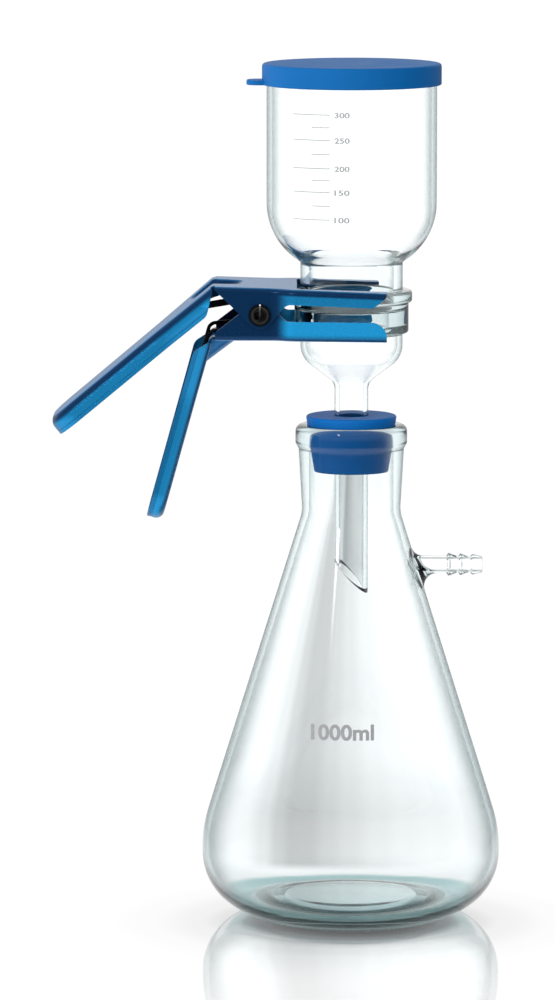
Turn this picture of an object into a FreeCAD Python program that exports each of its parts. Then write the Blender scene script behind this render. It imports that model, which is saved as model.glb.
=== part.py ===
"""Vacuum filtration unit: a funnel and a fritted base held by a spring clamp over a side-arm flask.

Millimetres. The origin is the centre of the flask's foot, +Z is up, the side arm points along +X
and the clamp's handles point along -X. Every piece is one solid and one STEP file in parts/.
"""
import FreeCAD, Part
import math
import os
from FreeCAD import Vector

# ---- driving dimensions ---------------------------------------------------------------------

FIT = 0.05                 # radial gap of glass, rubber and frit that seat in each other
RUNNING = 0.10             # radial gap of the hinge pin in the clamp's ears
SHEET_GAP = 0.30           # gap beside sheet metal that moves past another piece

# flask
FLASK_HEIGHT = 224.0
FLASK_MAX_R = 67.8
FLASK_WALL = 2.8
FLASK_FLOOR = 4.5
HEEL_R = 27.5
FOOT_R = 40.3              # outer radius of the flat ring that the flask stands on
FOOT_WIDTH = 5.0
PUNT = 2.6                 # how far the bottom is domed up inside the foot ring
CONE_FOOT_Z = 38.6         # where the cone's line meets the greatest radius
CONE_SLOPE = 17.4          # degrees from the vertical
SHOULDER_R = 18.0          # the round between cone and neck
NECK_WALL = 3.0
NECK_CLEAR_R = 1.4         # how much less than the neck's bore the stopper's broad end is
NECK_FLARE = 1.7           # the neck opens a little below its bead
BEAD_STAND = 1.4
BEAD_HEIGHT = 9.0
MOUTH_SEAT = 5.0           # length of the tapered mouth that the stopper wedges in

# side arm
ARM_BELOW_NECK = 24.31     # below where the cone's line meets the neck's
ARM_R = 3.95
ARM_BORE_R = 2.75
ARM_PLAIN = 13.58          # from the cone's wall to the first barb
BARB_LENGTH = 16.2         # all the barbs together
ARM_ROOT_ROUND = 6.0
BARB_COUNT = 3
BARB_R = 5.35
BARB_STEP = 0.3            # each barb is this much smaller than the one before
BARB_VALLEY = 1.15         # how far the taper behind a crest falls

# stopper
STOPPER_HEIGHT = 25.0
STOPPER_TOP_R = 20.6
STOPPER_TAPER = 3.9        # top radius less bottom radius
STOPPER_PROUD = 4.2        # what stands above the flask's rim

# filter base
JOINT_ABOVE_STOPPER = 51.8
STEM_R = 7.6
STEM_WALL = 2.0
STEM_BELOW_STOPPER = 56.6  # down to the lowest point of the slanted tip
HEAD_STEP = 2.7            # how far the clamped head stands out from the bulb
BASE_HEAD_HEIGHT = 14.0
BULB_R = 23.1
BULB_WALL = 2.2
BULB_DEPTH = 11.2          # from the head down to where the bulb's cone begins
BULB_ROUND = 11.0
BULB_SLOPE = 37.0          # degrees from the horizontal
FRIT_INSET = 4.6           # bulb's radius less the frit's
FRIT_THICK = 4.0
FRIT_LEDGE = 1.5

# funnel
FLANGE_STEP = 4.3          # how far the flange stands out from the neck
FLANGE_THICK = 5.2
FLANGE_ROUND = 1.4
FUNNEL_NECK_WALL = 3.9
FUNNEL_NECK_HEIGHT = 12.8
FUNNEL_R = 38.4
FUNNEL_WALL = 2.3
FUNNEL_HEIGHT = 105.4      # joint face to rim
BOWL_ROUND = 34.0
BOWL_SLOPE = 35.0          # degrees from the horizontal

# lid
LID_TOP = 2.2
LID_SKIRT = 9.6
LID_WALL = 1.8
LID_GAP = 0.25
TAB_REACH = 7.0
TAB_WIDTH = 15.0
TAB_THICK = 2.2

# clamp
SHEET = 1.6
EDGE_ROUND = 2.4           # outside of the pressed edges between a plate and its walls
UPPER_ROUND = 5.0          # the same along each handle
LOWER_ROUND = 3.6
BEND_INSIDE = 1.5          # inner radius of the bend between plate and handle
NECK_CLEAR = 0.65          # the slot beside the glass neck
PRONG_WIDTH = 5.75         # each prong where the slot begins, its wall included
EAR_INSET = 3.5            # how much less the half width is at the ears and bends
FRONT_FLARE = 4.5          # how much more it is at the fork's front
FORK_FRONT = 15.5
SLOT_BEHIND = 1.05         # the slot's end behind the neck, more than beside it
PIVOT_BACK = 16.6          # from the slot's end to the hinge pin
UPPER_BEND_BACK = 20.2     # from the hinge pin to where each handle is bent down
LOWER_BEND_BACK = 20.1
UPPER_TILT = 1.8           # degrees; the upper jaw bears on the flange with its front end
UPPER_SLOPE = 41.6         # degrees that each handle is bent down from its plate
LOWER_SLOPE = 74.4
UPPER_HANDLE = 96.0
LOWER_HANDLE = 85.5
WAIST_INSET = 7.0          # how much less than at the ears it is a third down a handle
TIP_INSET = 10.0
UPPER_WALL = 8.8           # depth of each handle's walls, sheet included
LOWER_WALL = 7.0
UPPER_WALL_START = 9.5     # the handles' walls reach full depth this far down them
LOWER_WALL_START = 6.0
WALL_START_ROUND = 5.0
HEM = 1.7                  # width of the hem along a handle's edge
HEM_GROOVE = 0.35
HEM_DEPTH = 0.25
UPPER_LIP = 6.8            # depth of the walls along each fork, sheet included
LOWER_LIP = 9.0
UPPER_NOSE_CUT = 6.0       # the upper walls end in a slanted cut, the lower in a round corner
LOWER_NOSE_ROUND = 7.0
GUSSET_HALF = 11.0         # half the width of the dent pressed across each bend
GUSSET_ROUND = 5.0
UPPER_GUSSET = 12.8        # how far each dent runs from its bend, both ways
LOWER_GUSSET = 10.0
EAR_EDGE = 1.2             # sheet between the hinge pin and the ears' round edge
LOWER_EAR_HEEL = 2.3       # the lower ears' square back edge, under the plate
EAR_FRONT = 12.0           # where an ear's edge meets the wall's, in front of the pin
PIN_R = 4.8
PIN_SHEET = 1.2
PIN_SLIT = 14.0            # degrees
PIN_PROUD = 1.0

# spring
WIRE_R = 0.85
COIL_TURNS = 4             # whole turns in each coil, and about half a turn more
COIL_PITCH = 2.0
COIL_GAP = 0.3             # between the coils and the pin
LOOP_HALF = 7.5            # half the width of the loop that bears on the upper handle
LOOP_START = 15.0          # how far down the upper handle the loop first touches it
LOOP_REACH = 12.0
LEG_ABOVE = 4.5            # the legs turn down this far above the lower handle's start
LEG_REACH = 22.0
WIRE_BEND = 3.5

# ---- places that follow from them --------------------------------------------------------------

NECK_R = STOPPER_TOP_R - NECK_CLEAR_R + NECK_WALL
NECK_TOP_R = NECK_R + NECK_FLARE
BEAD_R = NECK_TOP_R + BEAD_STAND
NECK_FOOT_Z = CONE_FOOT_Z + (FLASK_MAX_R - NECK_R) / math.tan(math.radians(CONE_SLOPE))
ARM_Z = NECK_FOOT_Z - ARM_BELOW_NECK
STOPPER_BOTTOM_R = STOPPER_TOP_R - STOPPER_TAPER
STOPPER_TOP_Z = FLASK_HEIGHT + STOPPER_PROUD
STOPPER_BOTTOM_Z = STOPPER_TOP_Z - STOPPER_HEIGHT
JOINT_Z = STOPPER_TOP_Z + JOINT_ABOVE_STOPPER
BASE_HEAD_Z = JOINT_Z - BASE_HEAD_HEIGHT
FLANGE_TOP_Z = JOINT_Z + FLANGE_THICK
RIM_Z = JOINT_Z + FUNNEL_HEIGHT
BASE_HEAD_R = BULB_R + HEAD_STEP
FRIT_R = BULB_R - FRIT_INSET
FUNNEL_NECK_R = BULB_R
FUNNEL_BORE_R = FUNNEL_NECK_R - FUNNEL_NECK_WALL
FLANGE_R = FUNNEL_NECK_R + FLANGE_STEP
SLOT_HALF = BULB_R + NECK_CLEAR
SLOT_BACK = SLOT_HALF + SLOT_BEHIND
FORK_HALF = SLOT_HALF + PRONG_WIDTH                   # half widths of the upper jaw
FRONT_HALF = FORK_HALF + FRONT_FLARE
EAR_HALF = FORK_HALF - EAR_INSET
WAIST_HALF = EAR_HALF - WAIST_INSET
TIP_HALF = EAR_HALF - TIP_INSET
PIVOT_BEHIND = SLOT_BACK + PIVOT_BACK
UPPER_BEND = PIVOT_BEHIND + UPPER_BEND_BACK
LOWER_BEND = PIVOT_BEHIND + LOWER_BEND_BACK
EAR_R = PIN_R + EAR_EDGE
# the upper fork bears on the flange's flat top where the slot's sides leave it
BEARING = Vector(math.sqrt((FLANGE_R - FLANGE_ROUND) ** 2 - SLOT_HALF ** 2), 0, FLANGE_TOP_Z)
PIVOT_Z = (FLANGE_TOP_Z + BASE_HEAD_Z) / 2 + PIVOT_BEHIND * math.radians(UPPER_TILT) / 2
COIL_R = PIN_R + COIL_GAP + WIRE_R
INNER_INSET = SHEET + SHEET_GAP                       # the lower ears stand inside the upper
X_AXIS = Vector(1, 0, 0)
Y_AXIS = Vector(0, 1, 0)
Z_AXIS = Vector(0, 0, 1)
ORIGIN = Vector(0, 0, 0)


# ---- helpers -----------------------------------------------------------------------------------

def rounded_edges(points, radii, closed=True):
    """Edges of a route through points, its corners rounded by tangent arcs of the given radii."""
    count = len(points)
    joins = []
    for i in range(count):
        here = points[i]
        if not radii[i] or (not closed and i in (0, count - 1)):
            joins.append((here,))
            continue
        back = (points[i - 1] - here).normalize()
        ahead = (points[(i + 1) % count] - here).normalize()
        half = back.getAngle(ahead) / 2
        middle = (back + ahead).normalize()
        reach = radii[i] / math.tan(half)
        inside = middle * (radii[i] / math.sin(half) - radii[i])
        joins.append((here + back * reach, here + inside, here + ahead * reach))
    edges = []
    for i in range(count):
        if len(joins[i]) == 3:
            edges.append(Part.Arc(*joins[i]).toShape())
        if i == count - 1 and not closed:
            break
        start = joins[i][-1]
        end = joins[(i + 1) % count][0]
        if start.distanceToPoint(end) > 1e-6:
            edges.append(Part.LineSegment(start, end).toShape())
    return edges


def outline_face(corners, place):
    """Flat face inside corners (across, up, corner radius), set in space by place(across, up)."""
    points = [place(across, up) for across, up, radius in corners]
    return Part.Face(Part.Wire(rounded_edges(points, [corner[2] for corner in corners])))


def turned(corners):
    """Solid of revolution about Z from corners (radius, height, corner radius)."""
    return outline_face(corners, lambda r, z: Vector(r, 0, z)).revolve(ORIGIN, Z_AXIS, 360)


def plan_prism(corners, z, height):
    """Prism with a plan outline of corners (x, y, corner radius), from z up to z + height."""
    return outline_face(corners, lambda x, y: Vector(x, y, z)).extrude(Vector(0, 0, height))


def side_prism(corners, half_width):
    """Prism across Y with a side outline of corners (x, z, corner radius)."""
    face = outline_face(corners, lambda x, z: Vector(x, -half_width, z))
    return face.extrude(Vector(0, 2 * half_width, 0))


def rod(radius, x, y, z, length, axis):
    """Cylinder that starts at (x, y, z) and runs along axis."""
    return Part.makeCylinder(radius, length, Vector(x, y, z), axis)


def save(shape, node):
    """One valid solid, written to its own STEP file."""
    solids = shape.Solids
    if len(solids) != 1 or not shape.isValid():
        raise ValueError(node + " is not one valid solid: " + str(len(solids)))
    solids[0].exportStep("parts/" + node + ".step")
    print(node, round(solids[0].Volume), "mm3")


# ---- glass ---------------------------------------------------------------------------------------

def cone_radius(z):
    """Radius of the flask's conical wall at height z."""
    return FLASK_MAX_R - (z - CONE_FOOT_Z) * math.tan(math.radians(CONE_SLOPE))


def cone_height(radius):
    """Height at which the flask's conical wall has a radius."""
    return CONE_FOOT_Z + (FLASK_MAX_R - radius) / math.tan(math.radians(CONE_SLOPE))


def arm_start():
    """How far out the first barb of the side arm begins."""
    return cone_radius(ARM_Z) + ARM_PLAIN


def stopper_radius(z):
    """Radius of the stopper's taper at height z."""
    share = (STOPPER_TOP_Z - z) / STOPPER_HEIGHT
    return STOPPER_TOP_R + (STOPPER_BOTTOM_R - STOPPER_TOP_R) * share


def flask_body():
    """Thick-walled conical flask: domed foot, rounded heel, cone, neck and beaded rim."""
    foot_inner = FOOT_R - FOOT_WIDTH
    bead_z = FLASK_HEIGHT - BEAD_HEIGHT
    return turned([
        (0, PUNT, 0),
        (foot_inner - 2 * PUNT, PUNT, 4),
        (foot_inner, 0, 1.5),
        (FLASK_MAX_R, 0, HEEL_R),
        (FLASK_MAX_R, CONE_FOOT_Z, 56),
        (NECK_R, NECK_FOOT_Z, SHOULDER_R),
        (NECK_TOP_R, bead_z - 1.5, 3),
        (BEAD_R, bead_z + 0.5, 2.5),
        (BEAD_R, FLASK_HEIGHT, 3),
        (0, FLASK_HEIGHT, 0),
    ])


def flask_cavity():
    """The space inside the flask, with the tapered mouth that the stopper wedges in."""
    wall_across = FLASK_WALL / math.cos(math.radians(CONE_SLOPE))
    inner_r = FLASK_MAX_R - FLASK_WALL
    bore_r = NECK_R - NECK_WALL
    seat_z = FLASK_HEIGHT - MOUTH_SEAT
    seat_r = stopper_radius(seat_z) + FIT
    mouth_r = stopper_radius(FLASK_HEIGHT + 1) + FIT
    cone_foot = CONE_FOOT_Z + (FLASK_WALL - wall_across) / math.tan(math.radians(CONE_SLOPE))
    cone_top = cone_height(bore_r + wall_across)
    return turned([
        (0, PUNT + FLASK_FLOOR, 0),
        (FOOT_R - FOOT_WIDTH - 2, PUNT + FLASK_FLOOR, 20),
        (FOOT_R, FLASK_FLOOR, 8),
        (inner_r, FLASK_FLOOR, HEEL_R - FLASK_WALL - 1.5),
        (inner_r, cone_foot, 53),
        (bore_r, cone_top, SHOULDER_R - FLASK_WALL),
        (bore_r, seat_z - 1.5, 0),
        (seat_r, seat_z, 0),
        (mouth_r, FLASK_HEIGHT + 1, 0),
        (0, FLASK_HEIGHT + 1, 0),
    ])


def barbed_nozzle():
    """The side arm's outer end: rounded barbs that each fall in a taper, laid along +X."""
    first = arm_start()
    tip = first + BARB_LENGTH
    pitch = BARB_LENGTH / BARB_COUNT
    corners = [(0, first - 4, 0), (ARM_R, first - 4, 0)]
    for i in range(BARB_COUNT):
        start = first + i * pitch
        crest = BARB_R - i * BARB_STEP
        valley = crest - BARB_VALLEY
        behind = ARM_R if i == 0 else corners[-1][0]
        corners.append((behind, start, 0.4))
        corners.append((crest, start + 0.8, 0.55))
        if i == BARB_COUNT - 1:
            corners.append((valley, tip, 0.7))
        else:
            corners.append((valley - BARB_STEP, start + pitch - 0.9, 1.2))
    corners.append((0, tip, 0))
    nozzle = turned(corners)
    nozzle.rotate(ORIGIN, Y_AXIS, 90)
    nozzle.translate(Vector(0, 0, ARM_Z))
    return nozzle


def make_flask():
    """The flask with its side arm fused to the cone in a round root."""
    body = flask_body()
    start = cone_radius(ARM_Z) - 12
    arm = rod(ARM_R, start, 0, ARM_Z, arm_start() - 2 - start, X_AXIS)
    joined = body.fuse(arm)
    near = Vector(cone_radius(ARM_Z), 0, ARM_Z)
    root = [
        edge for edge in joined.Edges
        if edge.BoundBox.Center.distanceToPoint(near) < ARM_R
        and edge.BoundBox.YLength < 2.2 * ARM_R
        and edge.BoundBox.YLength > 0.5 * ARM_R
    ]
    joined = joined.makeFillet(ARM_ROOT_ROUND, root)
    joined = joined.fuse(barbed_nozzle())
    joined = joined.cut(flask_cavity())
    tip = arm_start() + BARB_LENGTH
    bore = rod(ARM_BORE_R, start, 0, ARM_Z, tip + 1 - start, X_AXIS)
    return joined.cut(bore).removeSplitter()


def make_filter_base():
    """Clamped head with a frit seat, round bulb and a stem with a slanted tip, all one glass."""
    slope = math.tan(math.radians(BULB_SLOPE))
    bulb_z = BASE_HEAD_Z - BULB_DEPTH
    stem_z = bulb_z - (BULB_R - STEM_R) * slope
    low_z = STOPPER_BOTTOM_Z - STEM_BELOW_STOPPER
    outer = turned([
        (0, low_z, 0),
        (STEM_R, low_z, 0),
        (STEM_R, stem_z, 6),
        (BULB_R, bulb_z, BULB_ROUND),
        (BULB_R, BASE_HEAD_Z, 0.8),
        (BASE_HEAD_R, BASE_HEAD_Z, 1.2),
        (BASE_HEAD_R, JOINT_Z, 0.8),
        (0, JOINT_Z, 0),
    ])
    inner_r = BULB_R - BULB_WALL
    bore_r = STEM_R - STEM_WALL
    lift = BULB_WALL / math.cos(math.radians(BULB_SLOPE))
    inner_z = bulb_z + lift - BULB_WALL * slope
    inner_stem_z = inner_z - (inner_r - bore_r) * slope
    ledge_r = FRIT_R - FRIT_LEDGE
    ledge_z = JOINT_Z - FRIT_THICK - FIT
    inner = turned([
        (0, low_z - 1, 0),
        (bore_r, low_z - 1, 0),
        (bore_r, inner_stem_z, 6),
        (inner_r, inner_z, BULB_ROUND - BULB_WALL),
        (inner_r, BASE_HEAD_Z, 2),
        (ledge_r, BASE_HEAD_Z + 3, 2),
        (ledge_r, ledge_z, 0),
        (FRIT_R + FIT, ledge_z, 0),
        (FRIT_R + FIT, JOINT_Z + 1, 0),
        (0, JOINT_Z + 1, 0),
    ])
    tip = side_prism([
        (STEM_R, low_z, 0),
        (-STEM_R, low_z + 2 * STEM_R, 0),
        (-2 * STEM_R, low_z + 2 * STEM_R, 0),
        (-2 * STEM_R, low_z - 2, 0),
        (STEM_R, low_z - 2, 0),
    ], 2 * STEM_R)
    return outer.cut(inner).cut(tip)


def make_fritted_disc():
    """Sintered glass disc, level with the ground face that the funnel stands on."""
    return turned([
        (0, JOINT_Z - FRIT_THICK, 0),
        (FRIT_R, JOINT_Z - FRIT_THICK, 0.3),
        (FRIT_R, JOINT_Z, 0.3),
        (0, JOINT_Z, 0),
    ])


def make_funnel():
    """Graduated funnel: ground flange, short neck, round bowl and straight wall in one glass."""
    slope = math.tan(math.radians(BOWL_SLOPE))
    neck_z = FLANGE_TOP_Z + FUNNEL_NECK_HEIGHT
    bowl_z = neck_z + (FUNNEL_R - FUNNEL_NECK_R) * slope
    outer = turned([
        (0, JOINT_Z, 0),
        (FLANGE_R, JOINT_Z, 1.0),
        (FLANGE_R, FLANGE_TOP_Z, FLANGE_ROUND),
        (FUNNEL_NECK_R, FLANGE_TOP_Z, 0.6),
        (FUNNEL_NECK_R, neck_z, 1.2),
        (FUNNEL_R, bowl_z, BOWL_ROUND - 3),
        (FUNNEL_R, RIM_Z, 1.0),
        (0, RIM_Z, 0),
    ])
    inner_r = FUNNEL_R - FUNNEL_WALL
    lift = FUNNEL_WALL / math.cos(math.radians(BOWL_SLOPE))
    inner_bowl_z = bowl_z + lift - FUNNEL_WALL * slope
    inner_neck_z = inner_bowl_z - (inner_r - FUNNEL_BORE_R) * slope
    inner = turned([
        (0, JOINT_Z - 1, 0),
        (FUNNEL_BORE_R, JOINT_Z - 1, 0),
        (FUNNEL_BORE_R, inner_neck_z, 3),
        (inner_r, inner_bowl_z, 24),
        (inner_r, RIM_Z - 0.9, 0),
        (inner_r + 0.9, RIM_Z + 0.9, 0),
        (0, RIM_Z + 0.9, 0),
    ])
    return outer.cut(inner)


# ---- rubber ----------------------------------------------------------------------------------------

def make_stopper():
    """Tapered stopper with a hole for the stem."""
    bore_r = STEM_R + FIT
    return turned([
        (bore_r, STOPPER_BOTTOM_Z, 0.5),
        (STOPPER_BOTTOM_R, STOPPER_BOTTOM_Z, 0.9),
        (STOPPER_TOP_R, STOPPER_TOP_Z, 0.9),
        (bore_r, STOPPER_TOP_Z, 0.5),
    ])


def make_lid():
    """Soft cap with a skirt over the funnel's rim and a pull tab at the skirt's foot."""
    top_z = RIM_Z + LID_TOP
    foot_z = top_z - LID_SKIRT
    inner_r = FUNNEL_R + LID_GAP
    outer_r = inner_r + LID_WALL
    cap = turned([
        (0, RIM_Z, 0),
        (inner_r, RIM_Z, 0.6),
        (inner_r, foot_z, 0.5),
        (outer_r, foot_z, 0.6),
        (outer_r, top_z, 1.3),
        (0, top_z, 0),
    ])
    reach = outer_r + TAB_REACH
    tab = plan_prism([
        (-outer_r + 2 * LID_WALL, -TAB_WIDTH / 2, 0),
        (-reach, -TAB_WIDTH / 2, 5.5),
        (-reach, TAB_WIDTH / 2, 5.5),
        (-outer_r + 2 * LID_WALL, TAB_WIDTH / 2, 0),
    ], foot_z, TAB_THICK)
    tab = tab.cut(rod(inner_r, 0, 0, foot_z - 1, TAB_THICK + 2, Z_AXIS))
    rims = [e for e in tab.Edges if e.BoundBox.ZLength < 0.01 and e.BoundBox.XMin < -outer_r - 1]
    return cap.fuse(tab.makeFillet(0.6, rims))


# ---- clamp -------------------------------------------------------------------------------------------
#
# Each jaw is one pressed sheet: a forked plate, walls that deepen into ears round the hinge pin,
# and a handle bent down behind it. A jaw is built with its plate's outer face at z = 0 and its
# walls below. The lower jaw is then turned over, so that its walls point up.

def fork_plan(bend, inset):
    """Plan corners of a plate's outer edge, from behind the bend to ahead of the fork."""
    ear = EAR_HALF - inset
    fork = FORK_HALF - inset
    ahead = 10.0
    flare = (FRONT_HALF - FORK_HALF) / (FORK_FRONT + SLOT_BACK)
    front = FRONT_HALF + flare * ahead - inset
    half = [
        (-bend - 10, ear, 0),
        (-PIVOT_BEHIND + EAR_R + 1, ear, 12),
        (-SLOT_BACK - 3, fork, 12),
        (FORK_FRONT + ahead, front, 0),
    ]
    return [(x, -y, r) for x, y, r in half] + half[::-1]


def handle_plan(length, inset, half_width):
    """Plan corners of a handle's outer edge: it narrows to a waist and ends in a round tip."""
    half = [
        (3 * UPPER_ROUND, half_width - inset, 0),
        (-2, half_width - inset, 20),
        (-0.32 * length, WAIST_HALF - inset, 45),
        (inset - length, TIP_HALF - inset, 13 - inset),
    ]
    return [(x, -y, r) for x, y, r in half] + half[::-1]


def pressed_block(corners, depth, round_r, z):
    """Block under a plan outline with its top edge rounded: the outside or inside of a tray."""
    block = plan_prism(corners, z - depth, depth)
    edges = [e for e in block.Edges if e.BoundBox.ZMin > z - 0.01]
    return block.makeFillet(round_r, edges)


def jaw_plate(bend, lip, nose, heel, pin, inset):
    """The forked plate with its walls and ears, walls down; pin is the hinge pin's centre.

    nose is how far a wall's lower front corner is cut back, and the radius of that corner.
    heel is how far the ears go straight down from the bend.
    """
    depth = EAR_R + 1 - pin.z
    outer = pressed_block(fork_plan(bend, inset), depth, EDGE_ROUND, 0)
    inner = pressed_block(fork_plan(bend, inset + SHEET), depth, EDGE_ROUND - SHEET, -SHEET)
    side = side_prism([
        (-bend, 1, 0),
        (-bend, -SHEET - heel, 0),
        (pin.x - 0.75 * EAR_R, pin.z - 0.66 * EAR_R, 2),
        (pin.x + 0.66 * EAR_R, pin.z - 0.75 * EAR_R, 2),
        (pin.x + EAR_FRONT, -lip, 4),
        (FORK_FRONT - nose[0], -lip, nose[1]),
        (FORK_FRONT, -SHEET, 0),
        (FORK_FRONT, 1, 0),
    ], FRONT_HALF + 1)
    ear = rod(EAR_R, pin.x, -FRONT_HALF, pin.z, 2 * FRONT_HALF, Y_AXIS)
    slot = plan_prism([
        (-SLOT_BACK, -SLOT_HALF, 3),
        (FORK_FRONT + 1, -SLOT_HALF, 0),
        (FORK_FRONT + 1, SLOT_HALF, 0),
        (-SLOT_BACK, SLOT_HALF, 3),
    ], -SHEET - 1, SHEET + 2)
    front = plan_prism([
        (-bend - 1, -FRONT_HALF - 1, 0),
        (FORK_FRONT, -FRONT_HALF - 1, 4),
        (FORK_FRONT, FRONT_HALF + 1, 4),
        (-bend - 1, FRONT_HALF + 1, 0),
    ], -depth, depth + 1)
    return outer.cut(inner).common(side.fuse(ear)).cut(slot).common(front)


def jaw_handle(length, half_width, round_r, wall, wall_start):
    """A handle along -X from x = 0, walls down, with a fine hem line near its edge."""
    outer = pressed_block(handle_plan(length, 0, half_width), wall, round_r, 0)
    inner = pressed_block(handle_plan(length, SHEET, half_width), wall, round_r - SHEET, -SHEET)
    groove_z = HEM - wall
    ring = plan_prism(handle_plan(length, -1, half_width), groove_z, HEM_GROOVE)
    core = plan_prism(handle_plan(length, HEM_DEPTH, half_width), groove_z, HEM_GROOVE)
    side = side_prism([
        (0, 1, 0),
        (0, -SHEET, 0),
        (-wall_start, -wall, WALL_START_ROUND),
        (-length - 1, -wall, 0),
        (-length - 1, 1, 0),
    ], EAR_HALF + 1)
    return outer.cut(inner).cut(ring.cut(core)).common(side)


def bend_axis(bend, fold):
    """Point on the axis that a handle is folded about: below the plate for a fold towards it."""
    depth = -SHEET - BEND_INSIDE if fold < 0 else BEND_INSIDE
    return Vector(-bend, 0, depth)


def gusset_block(first, last, inward, depth, half_width, round_r):
    """Block outside the chord of a bend from first to last, its floor's long edges rounded.

    inward points from the bend's corner to the chord, and depth lowers the floor that way.
    """
    along = (last - first).normalize() * 8
    floor = inward * depth
    high = inward * 20
    corners = [first - along + floor, last + along + floor]
    corners += [corners[1] - high, corners[0] - high]
    block = side_prism([(c.x, c.z, 0) for c in corners], half_width)
    middle = (corners[0] + corners[1]) / 2
    long_edges = [
        e for e in block.Edges
        if at_y(e.CenterOfMass, 0).distanceToPoint(middle) < 0.1
        and e.BoundBox.YLength < 0.1
    ]
    return block.makeFillet(round_r, long_edges)


def with_gusset(jaw, bend, fold, reach):
    """The jaw with a stiffening dent pressed across its bend, in the sheet's own thickness."""
    face = 0 if fold < 0 else SHEET                   # depth of the faces outside the bend
    first = Vector(reach - bend, 0, -face)
    last = on_handle(bend, fold, reach, face)
    outside_r = BEND_INSIDE + SHEET
    corner = Vector(-bend - outside_r * math.tan(math.radians(abs(fold)) / 2), 0, -face)
    inward = ((first + last) / 2 - corner).normalize()
    far = corner + inward * 60
    plate_end = corner + (first - corner).normalize() * 40
    handle_end = corner + (last - corner).normalize() * 40
    wedge = side_prism([
        (plate_end.x, plate_end.z, 0),
        (corner.x, corner.z, outside_r),
        (handle_end.x, handle_end.z, 0),
        (far.x, far.z, 0),
    ], EAR_HALF)
    filled = gusset_block(first, last, inward, SHEET, GUSSET_HALF + SHEET, GUSSET_ROUND + SHEET)
    dent = gusset_block(first, last, inward, 0, GUSSET_HALF, GUSSET_ROUND)
    return jaw.fuse(filled.common(wedge)).cut(dent)


def make_jaw(bend, fold, handle_sizes, lip, nose, heel, gusset, pin, inset):
    """One pressed jaw, walls down: plate, bend and handle. A fold below 0 bends it to the walls.

    handle_sizes are a handle's length, edge round, wall depth and where its walls are full.
    """
    half_width = EAR_HALF - inset
    axis = bend_axis(bend, fold)
    length, round_r, wall, wall_start = handle_sizes
    handle = jaw_handle(length, half_width, round_r, wall, wall_start)
    handle.translate(Vector(-bend, 0, 0))
    handle.rotate(axis, Y_AXIS, fold)
    strip = half_width - round_r
    section = outline_face([
        (-strip, -SHEET, 0),
        (strip, -SHEET, 0),
        (strip, 0, 0),
        (-strip, 0, 0),
    ], lambda y, z: Vector(-bend, y, z))
    turn = section.revolve(axis, Y_AXIS, fold)
    jaw = jaw_plate(bend, lip, nose, heel, pin, inset).fuse(turn).fuse(handle)
    jaw = with_gusset(jaw, bend, fold, gusset)
    hole = rod(PIN_R + RUNNING, pin.x, -FRONT_HALF, pin.z, 2 * FRONT_HALF, Y_AXIS)
    return jaw.cut(hole).removeSplitter()


def on_handle(bend, fold, along, depth):
    """Point in a jaw's own frame at a distance down its handle and a depth below its outer face."""
    axis = bend_axis(bend, fold)
    turn = FreeCAD.Rotation(Y_AXIS, fold)
    return axis + turn.multVec(Vector(-bend - along, 0, -depth) - axis)


def place_upper(point):
    """From the upper jaw's own frame to where it grips: raised, and tilted about its bearing."""
    turn = FreeCAD.Rotation(Y_AXIS, UPPER_TILT)
    return BEARING + turn.multVec(point + Vector(0, 0, FLANGE_TOP_Z + SHEET) - BEARING)


def place_lower(point):
    """From the lower jaw's own frame to where it grips, turned over under the base's head."""
    return Vector(point.x, point.y, BASE_HEAD_Z - SHEET - point.z)


def make_upper_jaw():
    """Upper jaw: it bears on the funnel's flange, and its ears stand outside the lower ones."""
    back = FreeCAD.Rotation(Y_AXIS, -UPPER_TILT)
    pin = BEARING + back.multVec(Vector(-PIVOT_BEHIND, 0, PIVOT_Z) - BEARING)
    pin -= Vector(0, 0, FLANGE_TOP_Z + SHEET)
    jaw = make_jaw(
        UPPER_BEND, -UPPER_SLOPE, (UPPER_HANDLE, UPPER_ROUND, UPPER_WALL, UPPER_WALL_START),
        UPPER_LIP, (UPPER_NOSE_CUT, 1), 0, UPPER_GUSSET, pin, 0
    )
    jaw.translate(Vector(0, 0, FLANGE_TOP_Z + SHEET))
    jaw.rotate(BEARING, Y_AXIS, UPPER_TILT)
    return jaw


def make_lower_jaw():
    """Lower jaw: it bears up against the base's head, and its steep handle opens backwards."""
    pin = Vector(-PIVOT_BEHIND, 0, BASE_HEAD_Z - SHEET - PIVOT_Z)
    jaw = make_jaw(
        LOWER_BEND, LOWER_SLOPE, (LOWER_HANDLE, LOWER_ROUND, LOWER_WALL, LOWER_WALL_START),
        LOWER_LIP, (0, LOWER_NOSE_ROUND), LOWER_EAR_HEEL, LOWER_GUSSET, pin, INNER_INSET
    )
    jaw = jaw.mirror(ORIGIN, Z_AXIS)
    jaw.translate(Vector(0, 0, BASE_HEAD_Z - SHEET))
    return jaw


def arc_strip(inner_r, outer_r, start, end, half_width):
    """Part of a tube along Y between two angles, in degrees from straight up towards +X."""
    def at(radius, angle):
        turn = math.radians(angle)
        return Vector(radius * math.sin(turn), -half_width, radius * math.cos(turn))
    middle = (start + end) / 2
    wire = Part.Wire([
        Part.Arc(at(outer_r, start), at(outer_r, middle), at(outer_r, end)).toShape(),
        Part.LineSegment(at(outer_r, end), at(inner_r, end)).toShape(),
        Part.Arc(at(inner_r, end), at(inner_r, middle), at(inner_r, start)).toShape(),
        Part.LineSegment(at(inner_r, start), at(outer_r, start)).toShape(),
    ])
    return Part.Face(wire).extrude(Vector(0, 2 * half_width, 0))


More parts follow.
